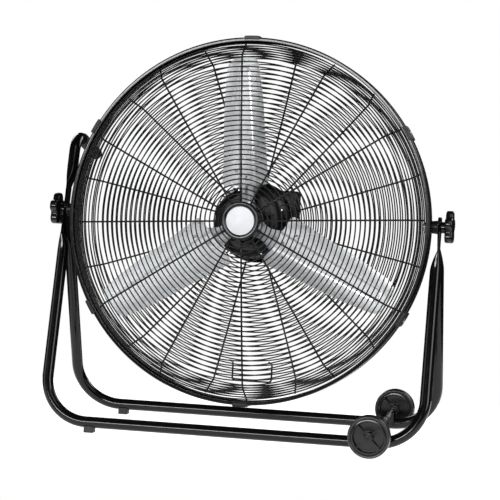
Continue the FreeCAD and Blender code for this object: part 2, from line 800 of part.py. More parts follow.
def motor_shell(front):
    """Half of the motor case: a ribbed drum, closed by an end with a bearing seat."""
    end = MOTOR_FRONT_Y if front else MOTOR_REAR_Y
    out = -1 if front else 1
    shell = about_y(case_outline(end, out)).fuse(cooling_fins(end, out)).cut(end_vents(end))
    holes = [cylinder((x, 0, z), (0, 1, 0), SCREW_R, 2 * MOTOR_REAR_Y) for x, z in case_bolt_spots()]
    if not front:
        start = end - 12
        feet = [cylinder((x, start, z), (0, 1, 0), 7, REAR_HUB_Y - start) for x, z in fixing_spots()]
        holes += [cylinder((x, end - SHELL, z), (0, 1, 0), FIXING_R, 40) for x, z in fixing_spots()]
        shell = shell.fuse(feet)
    return shell.cut(holes)


def case_bolt_spots():
    return [polar(CASE_BOLT_AT, 22.5 + 90 * turn) for turn in range(4)]


def motor_bolts():
    """Long screws that clamp the two halves of the case."""
    start = MOTOR_FRONT_Y + 10
    length = MOTOR_REAR_Y - MOTOR_FRONT_Y - 20
    return group([cylinder((x, start, z), (0, 1, 0), SCREW_R, length) for x, z in case_bolt_spots()])


def stack(inner, outer):
    """Ring of steel laminations in the middle of the motor."""
    low, high = MOTOR_MID_Y - STACK_HALF, MOTOR_MID_Y + STACK_HALF
    return about_y([(inner, low), (outer, low), (outer, high), (inner, high)])


def stator_core():
    """Laminated ring with teeth that reach in to the rotor."""
    ring = stack(STATOR_R, MOTOR_R - CASE_WALL)
    low, high = MOTOR_MID_Y - STACK_HALF, MOTOR_MID_Y + STACK_HALF
    for turn in range(TEETH):
        tooth = block((ROTOR_R, low, -4), (STATOR_R + 2, high, 4))
        ring = ring.fuse(around_fan(tooth, 360 / TEETH * turn))
    holes = [cylinder((x, 0, z), (0, 1, 0), SCREW_R, 2 * MOTOR_REAR_Y) for x, z in case_bolt_spots()]
    holes.append(cylinder((0, 0, 0), (0, 1, 0), ROTOR_R + AIR_GAP, 2 * MOTOR_REAR_Y))
    return ring.cut(holes).removeSplitter()


def stator_winding():
    """Lacquered wire bundles on both faces of the stator."""
    coils = []
    for side in (-1, 1):
        near = MOTOR_MID_Y + side * (STACK_HALF + 0.1)
        far = MOTOR_MID_Y + side * (STACK_HALF + 9)
        coils.append(about_y([(47, near), (68, near), (68, far), (47, far)]))
    return group(coils)


def bearing(front):
    """Ball bearing in the end of the case."""
    out = -1 if front else 1
    end = MOTOR_FRONT_Y if front else MOTOR_REAR_Y
    near = end - out * SHELL
    far = near - out * BEARING_W
    bore = SHAFT_R + RUNNING
    return about_y([(bore, near), (BEARING_R, near), (BEARING_R, far), (bore, far)])


def switch_box():
    """Moulded box with the speed switch and the lead's entry."""
    low = (BOX_LOW[0], BOX_BACK_Y, BOX_LOW[1])
    high = (BOX_HIGH[0], BOX_BACK_Y + BOX_DEPTH, BOX_HIGH[1])
    box = block(low, high)
    box = box.makeFillet(BOX_ROUND, box.Edges)
    inside = block([v + BOX_WALL for v in low], [v - BOX_WALL for v in high])
    spindle = cylinder((DIAL_X, high[1] - 10, DIAL_Z), (0, 1, 0), SPINDLE_R + RUNNING, 20)
    gland_hole = cylinder((DIAL_X, GLAND_Y, low[2] - 5), (0, 0, 1), GLAND_R, 12)
    return box.cut([inside, spindle, gland_hole])


def speed_knob():
    """Pointer knob and its spindle through the lid of the switch box."""
    face = BOX_BACK_Y + BOX_DEPTH
    body = cylinder((DIAL_X, face + 0.3, DIAL_Z), (0, 1, 0), DIAL_R, DIAL_T)
    body = body.makeFillet(2, [edge for edge in body.Edges if edge.BoundBox.YLength < 0.01])
    far = 2 * DIAL_R
    cuts = []
    for side in (-1, 1):
        x_near, x_far = sorted((DIAL_X + side * 4, DIAL_X + side * far))
        cuts.append(block((x_near, face + 6, DIAL_Z - far), (x_far, face + far, DIAL_Z + far)))
    spindle = cylinder((DIAL_X, face - 18, DIAL_Z), (0, 1, 0), SPINDLE_R, 20)
    return body.cut(cuts).fuse(spindle).removeSplitter()


def cable_gland():
    """Strain-relief gland under the switch box, with an open bore for the lead."""
    low = BOX_LOW[1]
    cup = cylinder((DIAL_X, GLAND_Y, low - 14), (0, 0, 1), GLAND_R + 2.5, 14)
    neck = cylinder((DIAL_X, GLAND_Y, low - 2), (0, 0, 1), GLAND_R, BOX_WALL + 4)
    bore = cylinder((DIAL_X, GLAND_Y, low - 30), (0, 0, 1), LEAD_R, 60)
    return cup.fuse(neck).cut(bore)


def capacitor():
    """Run capacitor inside the switch box."""
    low_x, low_z = BOX_LOW
    return block((low_x + 6, BOX_BACK_Y + 6, low_z + 8), (low_x + 18, BOX_BACK_Y + 30, low_z + 62))


# ---------------------------------------------------------------- rotor

def motor_shaft():
    return cylinder((0, SHAFT_TIP_Y, 0), (0, 1, 0), SHAFT_R, MOTOR_REAR_Y - 4 - SHAFT_TIP_Y)


def rotor_core():
    return stack(SHAFT_R, ROTOR_R)


def blade_section(radius, chord, pitch, bow, offset, thickness):
    """Cambered strip seen along the blade, as a closed wire at one radius.

    The strip lies across the blade at its pitch, bowed by bow, and offset moves it
    off its own middle surface.
    """
    tilt = math.radians(pitch)
    across = V(0, math.sin(tilt), math.cos(tilt))
    normal = V(0, -math.cos(tilt), math.sin(tilt))
    centre = V(radius, BLADE_Y, 0) + normal * offset
    ends = [centre - across * (chord / 2), centre + across * (chord / 2)]
    crown = centre + normal * -bow
    back = normal * -thickness
    edges = [
        Part.Arc(ends[0], crown, ends[1]).toShape(),
        Part.LineSegment(ends[1], ends[1] + back).toShape(),
        Part.Arc(ends[1] + back, crown + back, ends[0] + back).toShape(),
        Part.LineSegment(ends[0] + back, ends[0]).toShape(),
    ]
    return Part.Wire(edges)


def rivet_axis(spot):
    """A rivet's place on the front face of its blade and its direction out of it."""
    radius, side = spot
    tilt = math.radians(RIVET_PITCH)
    across = V(0, math.sin(tilt), math.cos(tilt))
    normal = V(0, -math.cos(tilt), math.sin(tilt))
    sag = camber_at(radius, 2 * abs(side))
    return V(radius, BLADE_Y, 0) + across * side - normal * sag, normal


def rivet_holes():
    holes = []
    for spot in RIVETS:
        centre, normal = rivet_axis(spot)
        holes.append(Part.makeCylinder(RIVET_R, 60, centre - normal * 30, normal))
    return holes


def tip_corner(side):
    """What is cut off one corner of the blade's tip to round it."""
    _, chord, pitch, _ = BLADE_STATIONS[-1]
    r = BLADE_CORNER_R
    z = side * (chord / 2 - r - 2) * math.cos(math.radians(pitch))
    z_low, z_high = sorted((z, z + side * 3 * r))
    square = block((BLADE_TIP_R - r, -120, z_low), (BLADE_TIP_R + 1, 120, z_high))
    return square.cut(cylinder((BLADE_TIP_R - r, -150, z), (0, 1, 0), r, 300))


def blade(angle):
    """Pressed aluminium paddle with rounded tip corners."""
    wires = [blade_section(*station, 0, BLADE_T) for station in BLADE_STATIONS]
    paddle = Part.makeLoft(wires, True, False)
    paddle = paddle.cut([tip_corner(-1), tip_corner(1)] + rivet_holes())
    return around_fan(paddle, angle)


def camber_at(radius, chord):
    """How far behind the blade's own edges a narrower strip has to start."""
    for inner, outer in zip(BLADE_STATIONS, BLADE_STATIONS[1:]):
        if inner[0] <= radius <= outer[0]:
            part = (radius - inner[0]) / (outer[0] - inner[0])
            full = inner[1] + (outer[1] - inner[1]) * part
            bow = inner[3] + (outer[3] - inner[3]) * part
            return bow * (1 - (chord / full) ** 2)
    return SPIDER_SAG


def spider_arm(angle):
    """Arm of the spider: flat at the hub and twisted to lie behind its blade."""
    wires = []
    for radius, chord, pitch, bow in SPIDER_STATIONS:
        offset = -(BLADE_T + SPIDER_BEHIND) - camber_at(radius, chord)
        wires.append(blade_section(radius, chord, pitch, bow, offset, SPIDER_T))
    arm = Part.makeLoft(wires, True, True)
    return around_fan(arm.cut(rivet_holes()), angle)


def blade_spider():
    """Cast hub with three arms, clamped on the motor shaft."""
    hub = about_y([
        (SHAFT_R, BLADE_Y - 20), (20, BLADE_Y - 20), (24, BLADE_Y - 8), (34, BLADE_Y - 3),
        (34, BLADE_Y + 9), (24, BLADE_Y + 16), (SHAFT_R, BLADE_Y + 16),
    ])
    return hub.fuse([spider_arm(angle) for angle in BLADE_ANGLES])


def blade_rivets():
    rivets = []
    for angle in BLADE_ANGLES:
        for spot in RIVETS:
            centre, normal = rivet_axis(spot)
            shank = Part.makeCylinder(RIVET_R, RIVET_GRIP + 0.3, centre - normal * RIVET_GRIP, normal)
            head = Part.makeCylinder(RIVET_HEAD_R, 1.8, centre + normal * 0.15, normal)
            tail = Part.makeCylinder(RIVET_TAIL_R, 1.5, centre - normal * (RIVET_GRIP + 1.4), normal)
            rivets.append(around_fan(shank.fuse([head, tail]), angle))
    return group(rivets)


# ---------------------------------------------------------------- assembly

def build():
    front = grille_profile(FRONT_HUB_Y, FRONT_SHOULDER, FRONT_RIM_Y)
    rear = grille_profile(REAR_HUB_Y, REAR_SHOULDER, REAR_RIM_Y)
    rack = {
        "front_frame_tube": frame_tube(-1, True),
        "rear_frame_tube": frame_tube(1, False),
        "handle_grip": handle_grip(),
        "foot_front": foot(-1),
        "foot_rear": foot(1),
        "foot_screws": foot_screws(),
        "axle_bracket_front": axle_bracket(-1),
        "axle_bracket_rear": axle_bracket(1),
        "bracket_screws": bracket_screws(),
        "wheel_axle": wheel_axle(),
        "axle_caps": axle_caps(),
        "axle_washers": axle_washers(),
        "friction_washers": friction_washers(),
        "wheel_disc_front": wheel_disc(-1),
        "wheel_disc_rear": wheel_disc(1),
        "wheel_tyre_front": wheel_tyre(-1),
        "wheel_tyre_rear": wheel_tyre(1),
    }
    pivots = {}
    for name, side in (("left", -1), ("right", 1)):
        pivots["pivot_spacer_" + name] = pivot_spacer(side)
        pivots["pivot_plate_" + name] = pivot_plate(side)
        pivots["pivot_bolt_" + name] = pivot_bolt(side)
        pivots["pivot_knob_" + name] = star_knob(side)
    head = {
        "trim_hoop": trim_hoop(),
        "front_grille_rings": face_rings(front, BADGE_R + 6),
        "front_shoulder_rings": shoulder_rings(front),
        "front_grille_spokes": grille_spokes(front, BADGE_R - 8, 1, SPOKE_PHASE),
        "front_grille_rim": grille_rim(FRONT_RIM_Y),
        "rear_grille_rings": face_rings(rear, PLATE_R + 8),
        "rear_shoulder_rings": shoulder_rings(rear),
        "rear_grille_spokes": grille_spokes(rear, PLATE_R + 1, -1, SPOKE_PHASE + 15),
        "rear_grille_rim": grille_rim(REAR_RIM_Y),
        "badge_ring": badge_ring(),
        "badge_disc": badge_disc(),
        "grille_clips": grille_clips(),
        "clip_screws": clip_screws(),
        "cord_hook": cord_hook(),
        "motor_plate": motor_plate(),
        "plate_screws": plate_screws(),
        "motor_shell_front": motor_shell(True),
        "motor_shell_rear": motor_shell(False),
        "motor_bolts": motor_bolts(),
        "stator_core": stator_core(),
        "stator_winding": stator_winding(),
        "bearing_front": bearing(True),
        "bearing_rear": bearing(False),
        "switch_box": switch_box(),
        "speed_knob": speed_knob(),
        "cable_gland": cable_gland(),
        "capacitor": capacitor(),
        "motor_shaft": motor_shaft(),
        "rotor_core": rotor_core(),
        "blade_spider": blade_spider(),
        "blade_rivets": blade_rivets(),
    }
    for number, angle in enumerate(BLADE_ANGLES, 1):
        head["blade_%d" % number] = blade(angle)
    os.makedirs("parts", exist_ok=True)
    placed = {name: in_fan(shape) for name, shape in head.items()}
    for name, shape in {**rack, **pivots, **placed}.items():
        shape.exportStep("parts/" + name + ".step")


build()
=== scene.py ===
"""Looks of the large tilting floor fan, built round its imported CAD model.

Metres, +Z up, in the CAD model's frame. Pieces of the head are drawn in the fan's own
axes, where Y is the fan axis and -Y the side that the air leaves from.
"""
import json
import math

import bmesh
import bpy
import numpy as np
from mathutils import Matrix, Vector


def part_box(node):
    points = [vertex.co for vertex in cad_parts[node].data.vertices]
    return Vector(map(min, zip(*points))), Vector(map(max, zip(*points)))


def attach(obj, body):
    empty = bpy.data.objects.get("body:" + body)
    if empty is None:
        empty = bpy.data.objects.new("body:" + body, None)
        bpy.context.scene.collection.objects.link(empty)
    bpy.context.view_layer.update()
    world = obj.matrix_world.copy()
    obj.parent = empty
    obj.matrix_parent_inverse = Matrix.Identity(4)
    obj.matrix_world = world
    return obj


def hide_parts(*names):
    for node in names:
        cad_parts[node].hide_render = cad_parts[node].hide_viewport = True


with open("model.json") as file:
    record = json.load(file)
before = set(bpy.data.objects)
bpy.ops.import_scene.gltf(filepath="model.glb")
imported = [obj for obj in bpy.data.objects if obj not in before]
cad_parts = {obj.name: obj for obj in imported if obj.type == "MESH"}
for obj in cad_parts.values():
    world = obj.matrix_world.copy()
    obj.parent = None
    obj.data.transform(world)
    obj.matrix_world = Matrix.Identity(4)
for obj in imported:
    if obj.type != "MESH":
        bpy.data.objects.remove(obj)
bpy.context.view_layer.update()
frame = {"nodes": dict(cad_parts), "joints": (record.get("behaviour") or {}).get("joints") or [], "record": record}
joints = {joint["name"]: joint for joint in frame["joints"]}

MM = 0.001

# Rack, as in the CAD model.
TUBE_R = 12.5 * MM
LEG_X = 426.0 * MM
LAP_X = 428.0 * MM
BEND_R = 100.0 * MM
RAIL_Y = 137.0 * MM
RAIL_Z = 22.0 * MM
PIVOT_Z = joints["head_tilt"]["pos_m"][2]
FLAT_T = 3.2 * MM
FLAT_W = 36.0 * MM
FLAT_ABOVE = 23.0 * MM
FLAT_BELOW = 56.0 * MM
TRANSITION = 46.0 * MM
BOLT_HOLE_R = 5.08 * MM
HOLE_REACH = 20.0 * MM
HANDLE_FLAT = 58.0 * MM
HANDLE_RISE = 182.6 * MM
HANDLE_BEND_R = 45.0 * MM
HANDLE_DROOP = math.radians(17.6)
GRIP_LENGTH = 122.0 * MM
GRIP_R = 14.5 * MM
GRIP_END = 3.0 * MM
GRIP_STEPS = 120
GRIP_ROLL = 3.0 * MM
GRIP_ROLL_DEPTH = 2.2 * MM
GROOVES_FROM_END = 14.0 * MM
GROOVE_PITCH = 4.7 * MM
GROOVE_DEPTH = 0.5 * MM
LEG_LENGTH = math.hypot(RAIL_Y, PIVOT_Z - RAIL_Z)
LEAN = math.atan2(RAIL_Y, PIVOT_Z - RAIL_Z)

# Wheels.
AXLE_X = joints["wheel_front_spin"]["pos_m"][0]
WHEEL_Y = 200.5 * MM
WHEEL_R = 46.0 * MM
WHEEL_W = 27.0 * MM
RIM_R = 39.0 * MM
AXLE_R = 4.0 * MM
BORE_R = AXLE_R + 0.1 * MM
HUB_R = 11.0 * MM
WEB_HALF = 2.5 * MM
WHEEL_RIBS = 4
RIB_HALF = 1.3 * MM
CAP_GAP = 0.4 * MM
CAP_DISH_R = 3.6 * MM
CAP_DISH_DEPTH = 1.6 * MM

# Head.
HOOP_R = 410.0 * MM
HOOP_DEPTH = 50.0 * MM
HOOP_LIP = 8.5 * MM
HOOP_WALL = 2.0 * MM
WIRE_R = 1.5 * MM
SPOKE_R = 2.0 * MM
RIM_WIRE_R = 2.5 * MM
RIM_AT = 403.5 * MM
RIM_Y = 20.4 * MM
SHOULDER_END_R = 400.5 * MM
HOOP_CORNER_R = 3.2 * MM
LIP_CORNER_R = 0.8 * MM
RING_PITCH = 10.8 * MM
SHOULDER_PITCH = RING_PITCH * 0.8
RING_SEGMENTS = 200
WIRE_SIDES = 10
SPOKES = 12
SPOKE_PHASE = 3.0
REAR_SPOKE_PHASE = SPOKE_PHASE + 15.0
SPOKE_BEND_R = 7.0 * MM
WELD_GAP = 0.05 * MM
BADGE_R = 43.0 * MM
BADGE_DISC_R = 31.5 * MM
BADGE_DOME = 1.4 * MM
BADGE_FRONT_Y = -87.0 * MM
FRONT_HUB_Y = -78.0 * MM
FRONT_PROFILE = ((47 * MM, FRONT_HUB_Y), (368 * MM, -66 * MM), (SHOULDER_END_R, -RIM_Y))
REAR_HUB_Y = 92.0 * MM
REAR_PROFILE = ((47 * MM, REAR_HUB_Y), (372 * MM, 72 * MM), (SHOULDER_END_R, RIM_Y))
PLATE_R = 92.0 * MM
CLIPS = 6
CLIP_PHASE = 31.0
CLIP_W = 34.0 * MM
CLIP_T = 3.5 * MM
CLIP_TUCK = 0.6 * MM
CLIP_GRIP = 5.0 * MM

# Blades: (radius, chord, pitch in degrees, depth of the camber).
BLADE_Y = -26.0 * MM
BLADE_T = 1.6 * MM
BLADE_ANGLES = (94.0, 214.0, 334.0)
BLADE_STATIONS = (
    (80 * MM, 140 * MM, 30.0, 8 * MM),
    (180 * MM, 120 * MM, 28.0, 8 * MM),
    (270 * MM, 106 * MM, 25.0, 7 * MM),
    (365 * MM, 76 * MM, 22.0, 5 * MM),
)
TIP_CORNER_R = 20 * MM
ROOT_CORNER_R = 12 * MM
PAD_HEIGHT = 2.2 * MM
PAD_RAMP = 6 * MM
PAD_END = 345 * MM
# half width of the pad at the root and how much of it is lost by its end, in millimetres
PAD_ROOT_HALF = 22.0
PAD_NARROWING = 8.5
BLADE_ROWS = 131
BLADE_COLUMNS = 65
SPIDER_T = 3.0 * MM
SPIDER_BEHIND = 1.3 * MM
SPIDER_STATIONS = (
    (30 * MM, 44 * MM, 10.0, 0.5 * MM),
    (70 * MM, 46 * MM, 26.0, 2 * MM),
    (100 * MM, 80 * MM, 29.5, 3 * MM),
    (157 * MM, 56 * MM, 28.5, 2 * MM),
)
SPIDER_SAG = 7 * MM
SPIDER_ROWS = 65
SPIDER_COLUMNS = 33
SPIDER_CORNER_R = 14 * MM
SPIDER_RIB = 1.6 * MM
SPIDER_RIB_HALF = 7 * MM
SPIDER_RIB_END = 92 * MM
SHAFT_R = 8 * MM
HUB_NECK_R = 24 * MM
HUB_FLANGE_R = 34 * MM
RIVETS = ((97 * MM, 0.0), (114 * MM, -31 * MM), (114 * MM, 31 * MM))
RIVET_PITCH = 29.0
RIVET_HEAD_R = 4.2 * MM
RIVET_SHANK_R = 2.4 * MM
RIVET_SHANK_L = 5 * MM
RIVET_CLEAR = 0.05 * MM

# Pivots and knobs.
KNOB_R = 37.5 * MM
KNOB_STEM_R = 12.5 * MM
KNOB_STEM_L = 10.0 * MM
KNOB_T = 17.0 * MM
KNOB_LOBES = 5
KNOB_LOBE_DEPTH = 10.5 * MM
KNOB_SIDES = 160
KNOB_GAP = 0.3 * MM
KNOB_TILT = math.radians(-4)


# ---------------------------------------------------------------- placing

def fan_matrix():
    """The fan's own axes, read from the rotor's joint."""
    spin = joints["rotor_spin"]
    along = Vector(spin["axis"])
    side = Vector((1, 0, 0))
    up = side.cross(along)
    matrix = Matrix((side, along, up)).transposed().to_4x4()
    matrix.translation = Vector(spin["pos_m"])
    return matrix


FAN = fan_matrix()


def around_fan(degrees):
    """Turn about the fan axis: positive runs from +X towards +Z."""
    return FAN @ Matrix.Rotation(math.radians(-degrees), 4, "Y")


def moved(part, matrix):
    points, faces = part
    turn = np.array(matrix.to_3x3())
    return np.asarray(points, float) @ turn.T + np.array(matrix.translation), faces


def joined(parts):
    points = []
    faces = []
    base = 0
    for some, more in parts:
        points.append(np.asarray(some, float))
        faces.extend(tuple(base + i for i in face) for face in more)
        base += len(some)
    return np.vstack(points), faces


# ---------------------------------------------------------------- mesh makers

def skin(rings, loop=False, caps=True):
    """Faces between successive rings of points, closed at both ends or into a loop."""
    rings = np.asarray(rings, float)
    count, sides, _ = rings.shape
    faces = []
    for i in range(count if loop else count - 1):
        j = (i + 1) % count
        for k in range(sides):
            m = (k + 1) % sides
            faces.append((i * sides + k, i * sides + m, j * sides + m, j * sides + k))
    if caps and not loop:
        faces.append(tuple(range(sides - 1, -1, -1)))
        faces.append(tuple((count - 1) * sides + k for k in range(sides)))
    return rings.reshape(-1, 3), faces


def lathe(outline, segments=192):
    """Closed outline of (radius, y) points turned about the Y axis."""
    outline = np.asarray(outline, float)
    rings = []
    for step in range(segments):
        angle = 2 * math.pi * step / segments
        radius = outline[:, 0]
        rings.append(np.c_[radius * math.cos(angle), outline[:, 1], radius * math.sin(angle)])
    return skin(rings, loop=True)


def softened(outline, radius, steps=4):
    """Closed outline with its corners rounded by about one radius, or one radius each."""
    outline = np.asarray(outline, float)
    soft = []
    count = len(outline)
    radii = np.broadcast_to(radius, count)
    for i in range(count):
        before, corner, after = outline[i - 1], outline[i], outline[(i + 1) % count]
        back, ahead = before - corner, after - corner
        reach = min(radii[i], 0.45 * np.linalg.norm(back), 0.45 * np.linalg.norm(ahead))
        enter = corner + back / np.linalg.norm(back) * reach
        leave = corner + ahead / np.linalg.norm(ahead) * reach
        for step in range(steps + 1):
            t = step / steps
            soft.append((1 - t) ** 2 * enter + 2 * t * (1 - t) * corner + t * t * leave)
    return np.array(soft)


def circle(radius, sides, centre=(0.0, 0.0)):
    angles = np.arange(sides) * 2 * math.pi / sides
    return np.c_[centre[0] + radius * np.cos(angles), centre[1] + radius * np.sin(angles)]


def filleted(points, radius, steps=8):
    """Open path with an arc of the given radius at every inner point."""
    points = [Vector(p) for p in points]
    path = [points[0]]
    for before, corner, after in zip(points, points[1:], points[2:]):
        back = (before - corner).normalized()
        ahead = (after - corner).normalized()
        half = back.angle(ahead) / 2
        reach = radius / math.tan(half)
        centre = corner + (back + ahead).normalized() * (radius / math.sin(half))
        enter = (corner + back * reach - centre).normalized()
        leave = (corner + ahead * reach - centre).normalized()
        for step in range(steps + 1):
            path.append(centre + enter.slerp(leave, step / steps) * radius)
    path.append(points[-1])
    return path


def rod(path, radius, sides=12):
    """Round bar along a path, closed at both ends with a small dome."""
    path = [Vector(p) for p in path]
    tangents = []
    for i in range(len(path)):
        ahead = path[min(i + 1, len(path) - 1)] - path[max(i - 1, 0)]
        tangents.append(ahead.normalized())
    normal = tangents[0].orthogonal().normalized()
    rings = []
    for i, (point, tangent) in enumerate(zip(path, tangents)):
        normal = (normal - tangent * normal.dot(tangent)).normalized()
        other = tangent.cross(normal)
        scales = [(0.0, 1.0)]
        if i == 0:
            scales = [(-0.35, 0.45), (-0.25, 0.8), (0.0, 1.0)]
        if i == len(path) - 1:
            scales = [(0.0, 1.0), (0.25, 0.8), (0.35, 0.45)]
        for push, size in scales:
            centre = point + tangent * (push * radius)
            ring = []
            for k in range(sides):
                angle = 2 * math.pi * k / sides
                arm = normal * math.cos(angle) + other * math.sin(angle)
                ring.append(centre + arm * (radius * size))
            rings.append(ring)
    return skin(rings)


def prism(outline, low, high):
    """Outline of (x, z) points drawn out along Y from low to high."""
    return skin([[(x, y, z) for x, z in outline] for y in (low, high)])


def sheet_faces(rows, columns):
    faces = []
    for i in range(rows - 1):
        for j in range(columns - 1):
            a = i * columns + j
            faces.append((a, a + 1, a + columns + 1, a + columns))
    return faces


# ---------------------------------------------------------------- materials

def socket(node, name, value):
    node.inputs[name].default_value = value


# (scale, detail) of the noise behind the uneven tone and the uneven gloss
TONE_NOISE = (14.0, 6.0)
SMUDGE_NOISE = (55.0, 8.0)
RELIEF_DETAIL = 3.0
TONE_RAMP = (0.35, 0.7)
SMUDGE_RANGE = (0.3, 0.7)
LEAST_ROUGHNESS = 0.02


def noise(tree, place, scale, detail):
    made = tree.nodes.new("ShaderNodeTexNoise")
    socket(made, "Scale", scale)
    socket(made, "Detail", detail)
    tree.links.new(place.outputs["Object"], made.inputs["Vector"])
    return made.outputs["Fac"]


def finish(name, colour, roughness, metallic=0.0, grain=900.0, bump=0.05, depth=0.0002,
           spread=0.06, tint=0.12, specular=0.5):
    """Painted, plated or moulded surface: uneven tone, uneven gloss and a fine relief.

    grain is the relief's pattern in waves per metre, spread how much the roughness varies
    and tint how much the colour does.
    """
    made = bpy.data.materials.new(name)
    made.use_nodes = True
    tree = made.node_tree
    nodes, links = tree.nodes, tree.links
    shader = nodes["Principled BSDF"]
    socket(shader, "Metallic", metallic)
    socket(shader, "Specular IOR Level", specular)
    place = nodes.new("ShaderNodeTexCoord")

    tone = nodes.new("ShaderNodeValToRGB")
    for stop, position, share in zip(tone.color_ramp.elements, TONE_RAMP, (1 - tint, 1 + tint)):
        stop.position = position
        stop.color = [min(1, c * share) for c in colour] + [1]
    links.new(noise(tree, place, *TONE_NOISE), tone.inputs["Fac"])
    links.new(tone.outputs["Color"], shader.inputs["Base Color"])

    gloss = nodes.new("ShaderNodeMapRange")
    socket(gloss, "From Min", SMUDGE_RANGE[0])
    socket(gloss, "From Max", SMUDGE_RANGE[1])
    socket(gloss, "To Min", max(LEAST_ROUGHNESS, roughness - spread))
    socket(gloss, "To Max", roughness + spread)
    links.new(noise(tree, place, *SMUDGE_NOISE), gloss.inputs["Value"])
    links.new(gloss.outputs["Result"], shader.inputs["Roughness"])

    lift = nodes.new("ShaderNodeBump")
    socket(lift, "Strength", bump)
    socket(lift, "Distance", depth)
    links.new(noise(tree, place, grain, RELIEF_DETAIL), lift.inputs["Height"])
    links.new(lift.outputs["Normal"], shader.inputs["Normal"])
    return made


FINISHES = {
    "frame_paint": dict(colour=(0.003, 0.003, 0.0035), roughness=0.12, grain=260, bump=0.03,
                        spread=0.02, specular=0.3),
    "grille_paint": dict(colour=(0.002, 0.002, 0.0022), roughness=0.26, grain=1500, bump=0.05,
                         specular=0.2),
    "hoop_paint": dict(colour=(0.003, 0.003, 0.0035), roughness=0.16, grain=300, bump=0.03,
                       spread=0.02, specular=0.3),
    "black_plastic": dict(colour=(0.006, 0.006, 0.0065), roughness=0.38, grain=2600, bump=0.2,
                          specular=0.2),
    "gloss_black_plastic": dict(colour=(0.004, 0.004, 0.0045), roughness=0.20, grain=1200,
                                bump=0.05, specular=0.4),
    "grip_rubber": dict(colour=(0.010, 0.010, 0.011), roughness=0.55, grain=3000, bump=0.3),
    "foot_rubber": dict(colour=(0.008, 0.008, 0.008), roughness=0.6, grain=2200, bump=0.4),
    "tyre_rubber": dict(colour=(0.007, 0.007, 0.0075), roughness=0.30, grain=1600, bump=0.15),
    "zinc_steel": dict(colour=(0.60, 0.61, 0.62), roughness=0.30, metallic=1.0, grain=700,
                       bump=0.15, spread=0.1, tint=0.18),
    "blade_aluminium": dict(colour=(0.90, 0.92, 0.94), roughness=0.26, metallic=0.45, grain=40,
                            bump=0.02, spread=0.03, tint=0.02),
    "spider_steel": dict(colour=(0.58, 0.60, 0.62), roughness=0.34, metallic=1.0, grain=900,
                         bump=0.15, spread=0.09, tint=0.14),
    "badge_silver": dict(colour=(0.60, 0.61, 0.63), roughness=0.5, metallic=0.2, grain=1800,
                         bump=0.06, spread=0.05, tint=0.04),
    "motor_paint": dict(colour=(0.002, 0.002, 0.0022), roughness=0.32, grain=1300, bump=0.12,
                        specular=0.2),
    "core_steel": dict(colour=(0.30, 0.31, 0.33), roughness=0.45, metallic=1.0),
    "copper_wire": dict(colour=(0.05, 0.022, 0.013), roughness=0.5, metallic=0.6),
    "bearing_steel": dict(colour=(0.62, 0.62, 0.64), roughness=0.18, metallic=1.0),
    "fibre_washer": dict(colour=(0.05, 0.05, 0.05), roughness=0.7, grain=2500, bump=0.4),
    "capacitor_case": dict(colour=(0.70, 0.70, 0.68), roughness=0.3),
}
MATERIALS = {name: finish(name, **look) for name, look in FINISHES.items()}
SLOT_OF = {row["node"]: row["material_slot"] for row in frame["record"]["subparts"]}

WELD_DISTANCE = 2e-6
SHARP_FROM = math.radians(40)


def new_object(name, points, faces):
    mesh = bpy.data.meshes.new(name)
    mesh.from_pydata([tuple(map(float, p)) for p in points], [], faces)
    made = bpy.data.objects.new(name, mesh)
    bpy.context.scene.collection.objects.link(made)
    return made


def piece(node, part, body):
    """Blender piece that stands for one CAD node, with that node's finish."""
    made = new_object(node + "_v", *part)
    mesh = made.data
    work = bmesh.new()
    work.from_mesh(mesh)
    bmesh.ops.remove_doubles(work, verts=work.verts, dist=WELD_DISTANCE)
    bmesh.ops.recalc_face_normals(work, faces=work.faces)
    work.to_mesh(mesh)
    work.free()
    mesh.polygons.foreach_set("use_smooth", [True] * len(mesh.polygons))
    mesh.set_sharp_from_angle(angle=SHARP_FROM)
    mesh.materials.append(MATERIALS[SLOT_OF[node]])
    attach(made, body)
    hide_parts(node)
    return made


def dress_cad_nodes():
    """Every CAD node gets the finish that its slot names."""
    for name, node in frame["nodes"].items():
        if not node.material_slots:
            node.data.materials.append(None)
        for place in node.material_slots:
            place.material = MATERIALS[SLOT_OF[name]]


# ---------------------------------------------------------------- rack

TUBE_SIDES = 48
CORNER_STEPS = 24
HALF_FLAT_STEPS = 15
# how square the pressed flat's section is: more is squarer
FLAT_SQUARENESS = 2.6


def tube_ring(centre, tangent, normal, half_in_plane, half_out):
    """Section of a tube: round where both halves are equal, else pressed flat."""
    in_plane = normal.cross(tangent).normalized()
    ring = []
    for k in range(TUBE_SIDES):
        angle = 2 * math.pi * k / TUBE_SIDES
        u = half_in_plane * math.cos(angle)
        spread = max(-1.0, min(1.0, FLAT_SQUARENESS * math.sin(angle)))
        v = half_in_plane * math.sin(angle) + (half_out - half_in_plane) * spread
        ring.append(centre + in_plane * u + normal * v)
    return ring


def leg_directions(facing):
    along = Vector((0, -facing * math.sin(LEAN), math.cos(LEAN)))
    across = Vector((0, math.cos(LEAN), facing * math.sin(LEAN)))
    return along, across


def leg_point(facing, x, rise):
    y = facing * RAIL_Y * (1 - rise / LEG_LENGTH)
    return Vector((x, y, RAIL_Z + rise * math.cos(LEAN)))


def ease_out(t):
    return math.sin(math.pi / 2 * t)


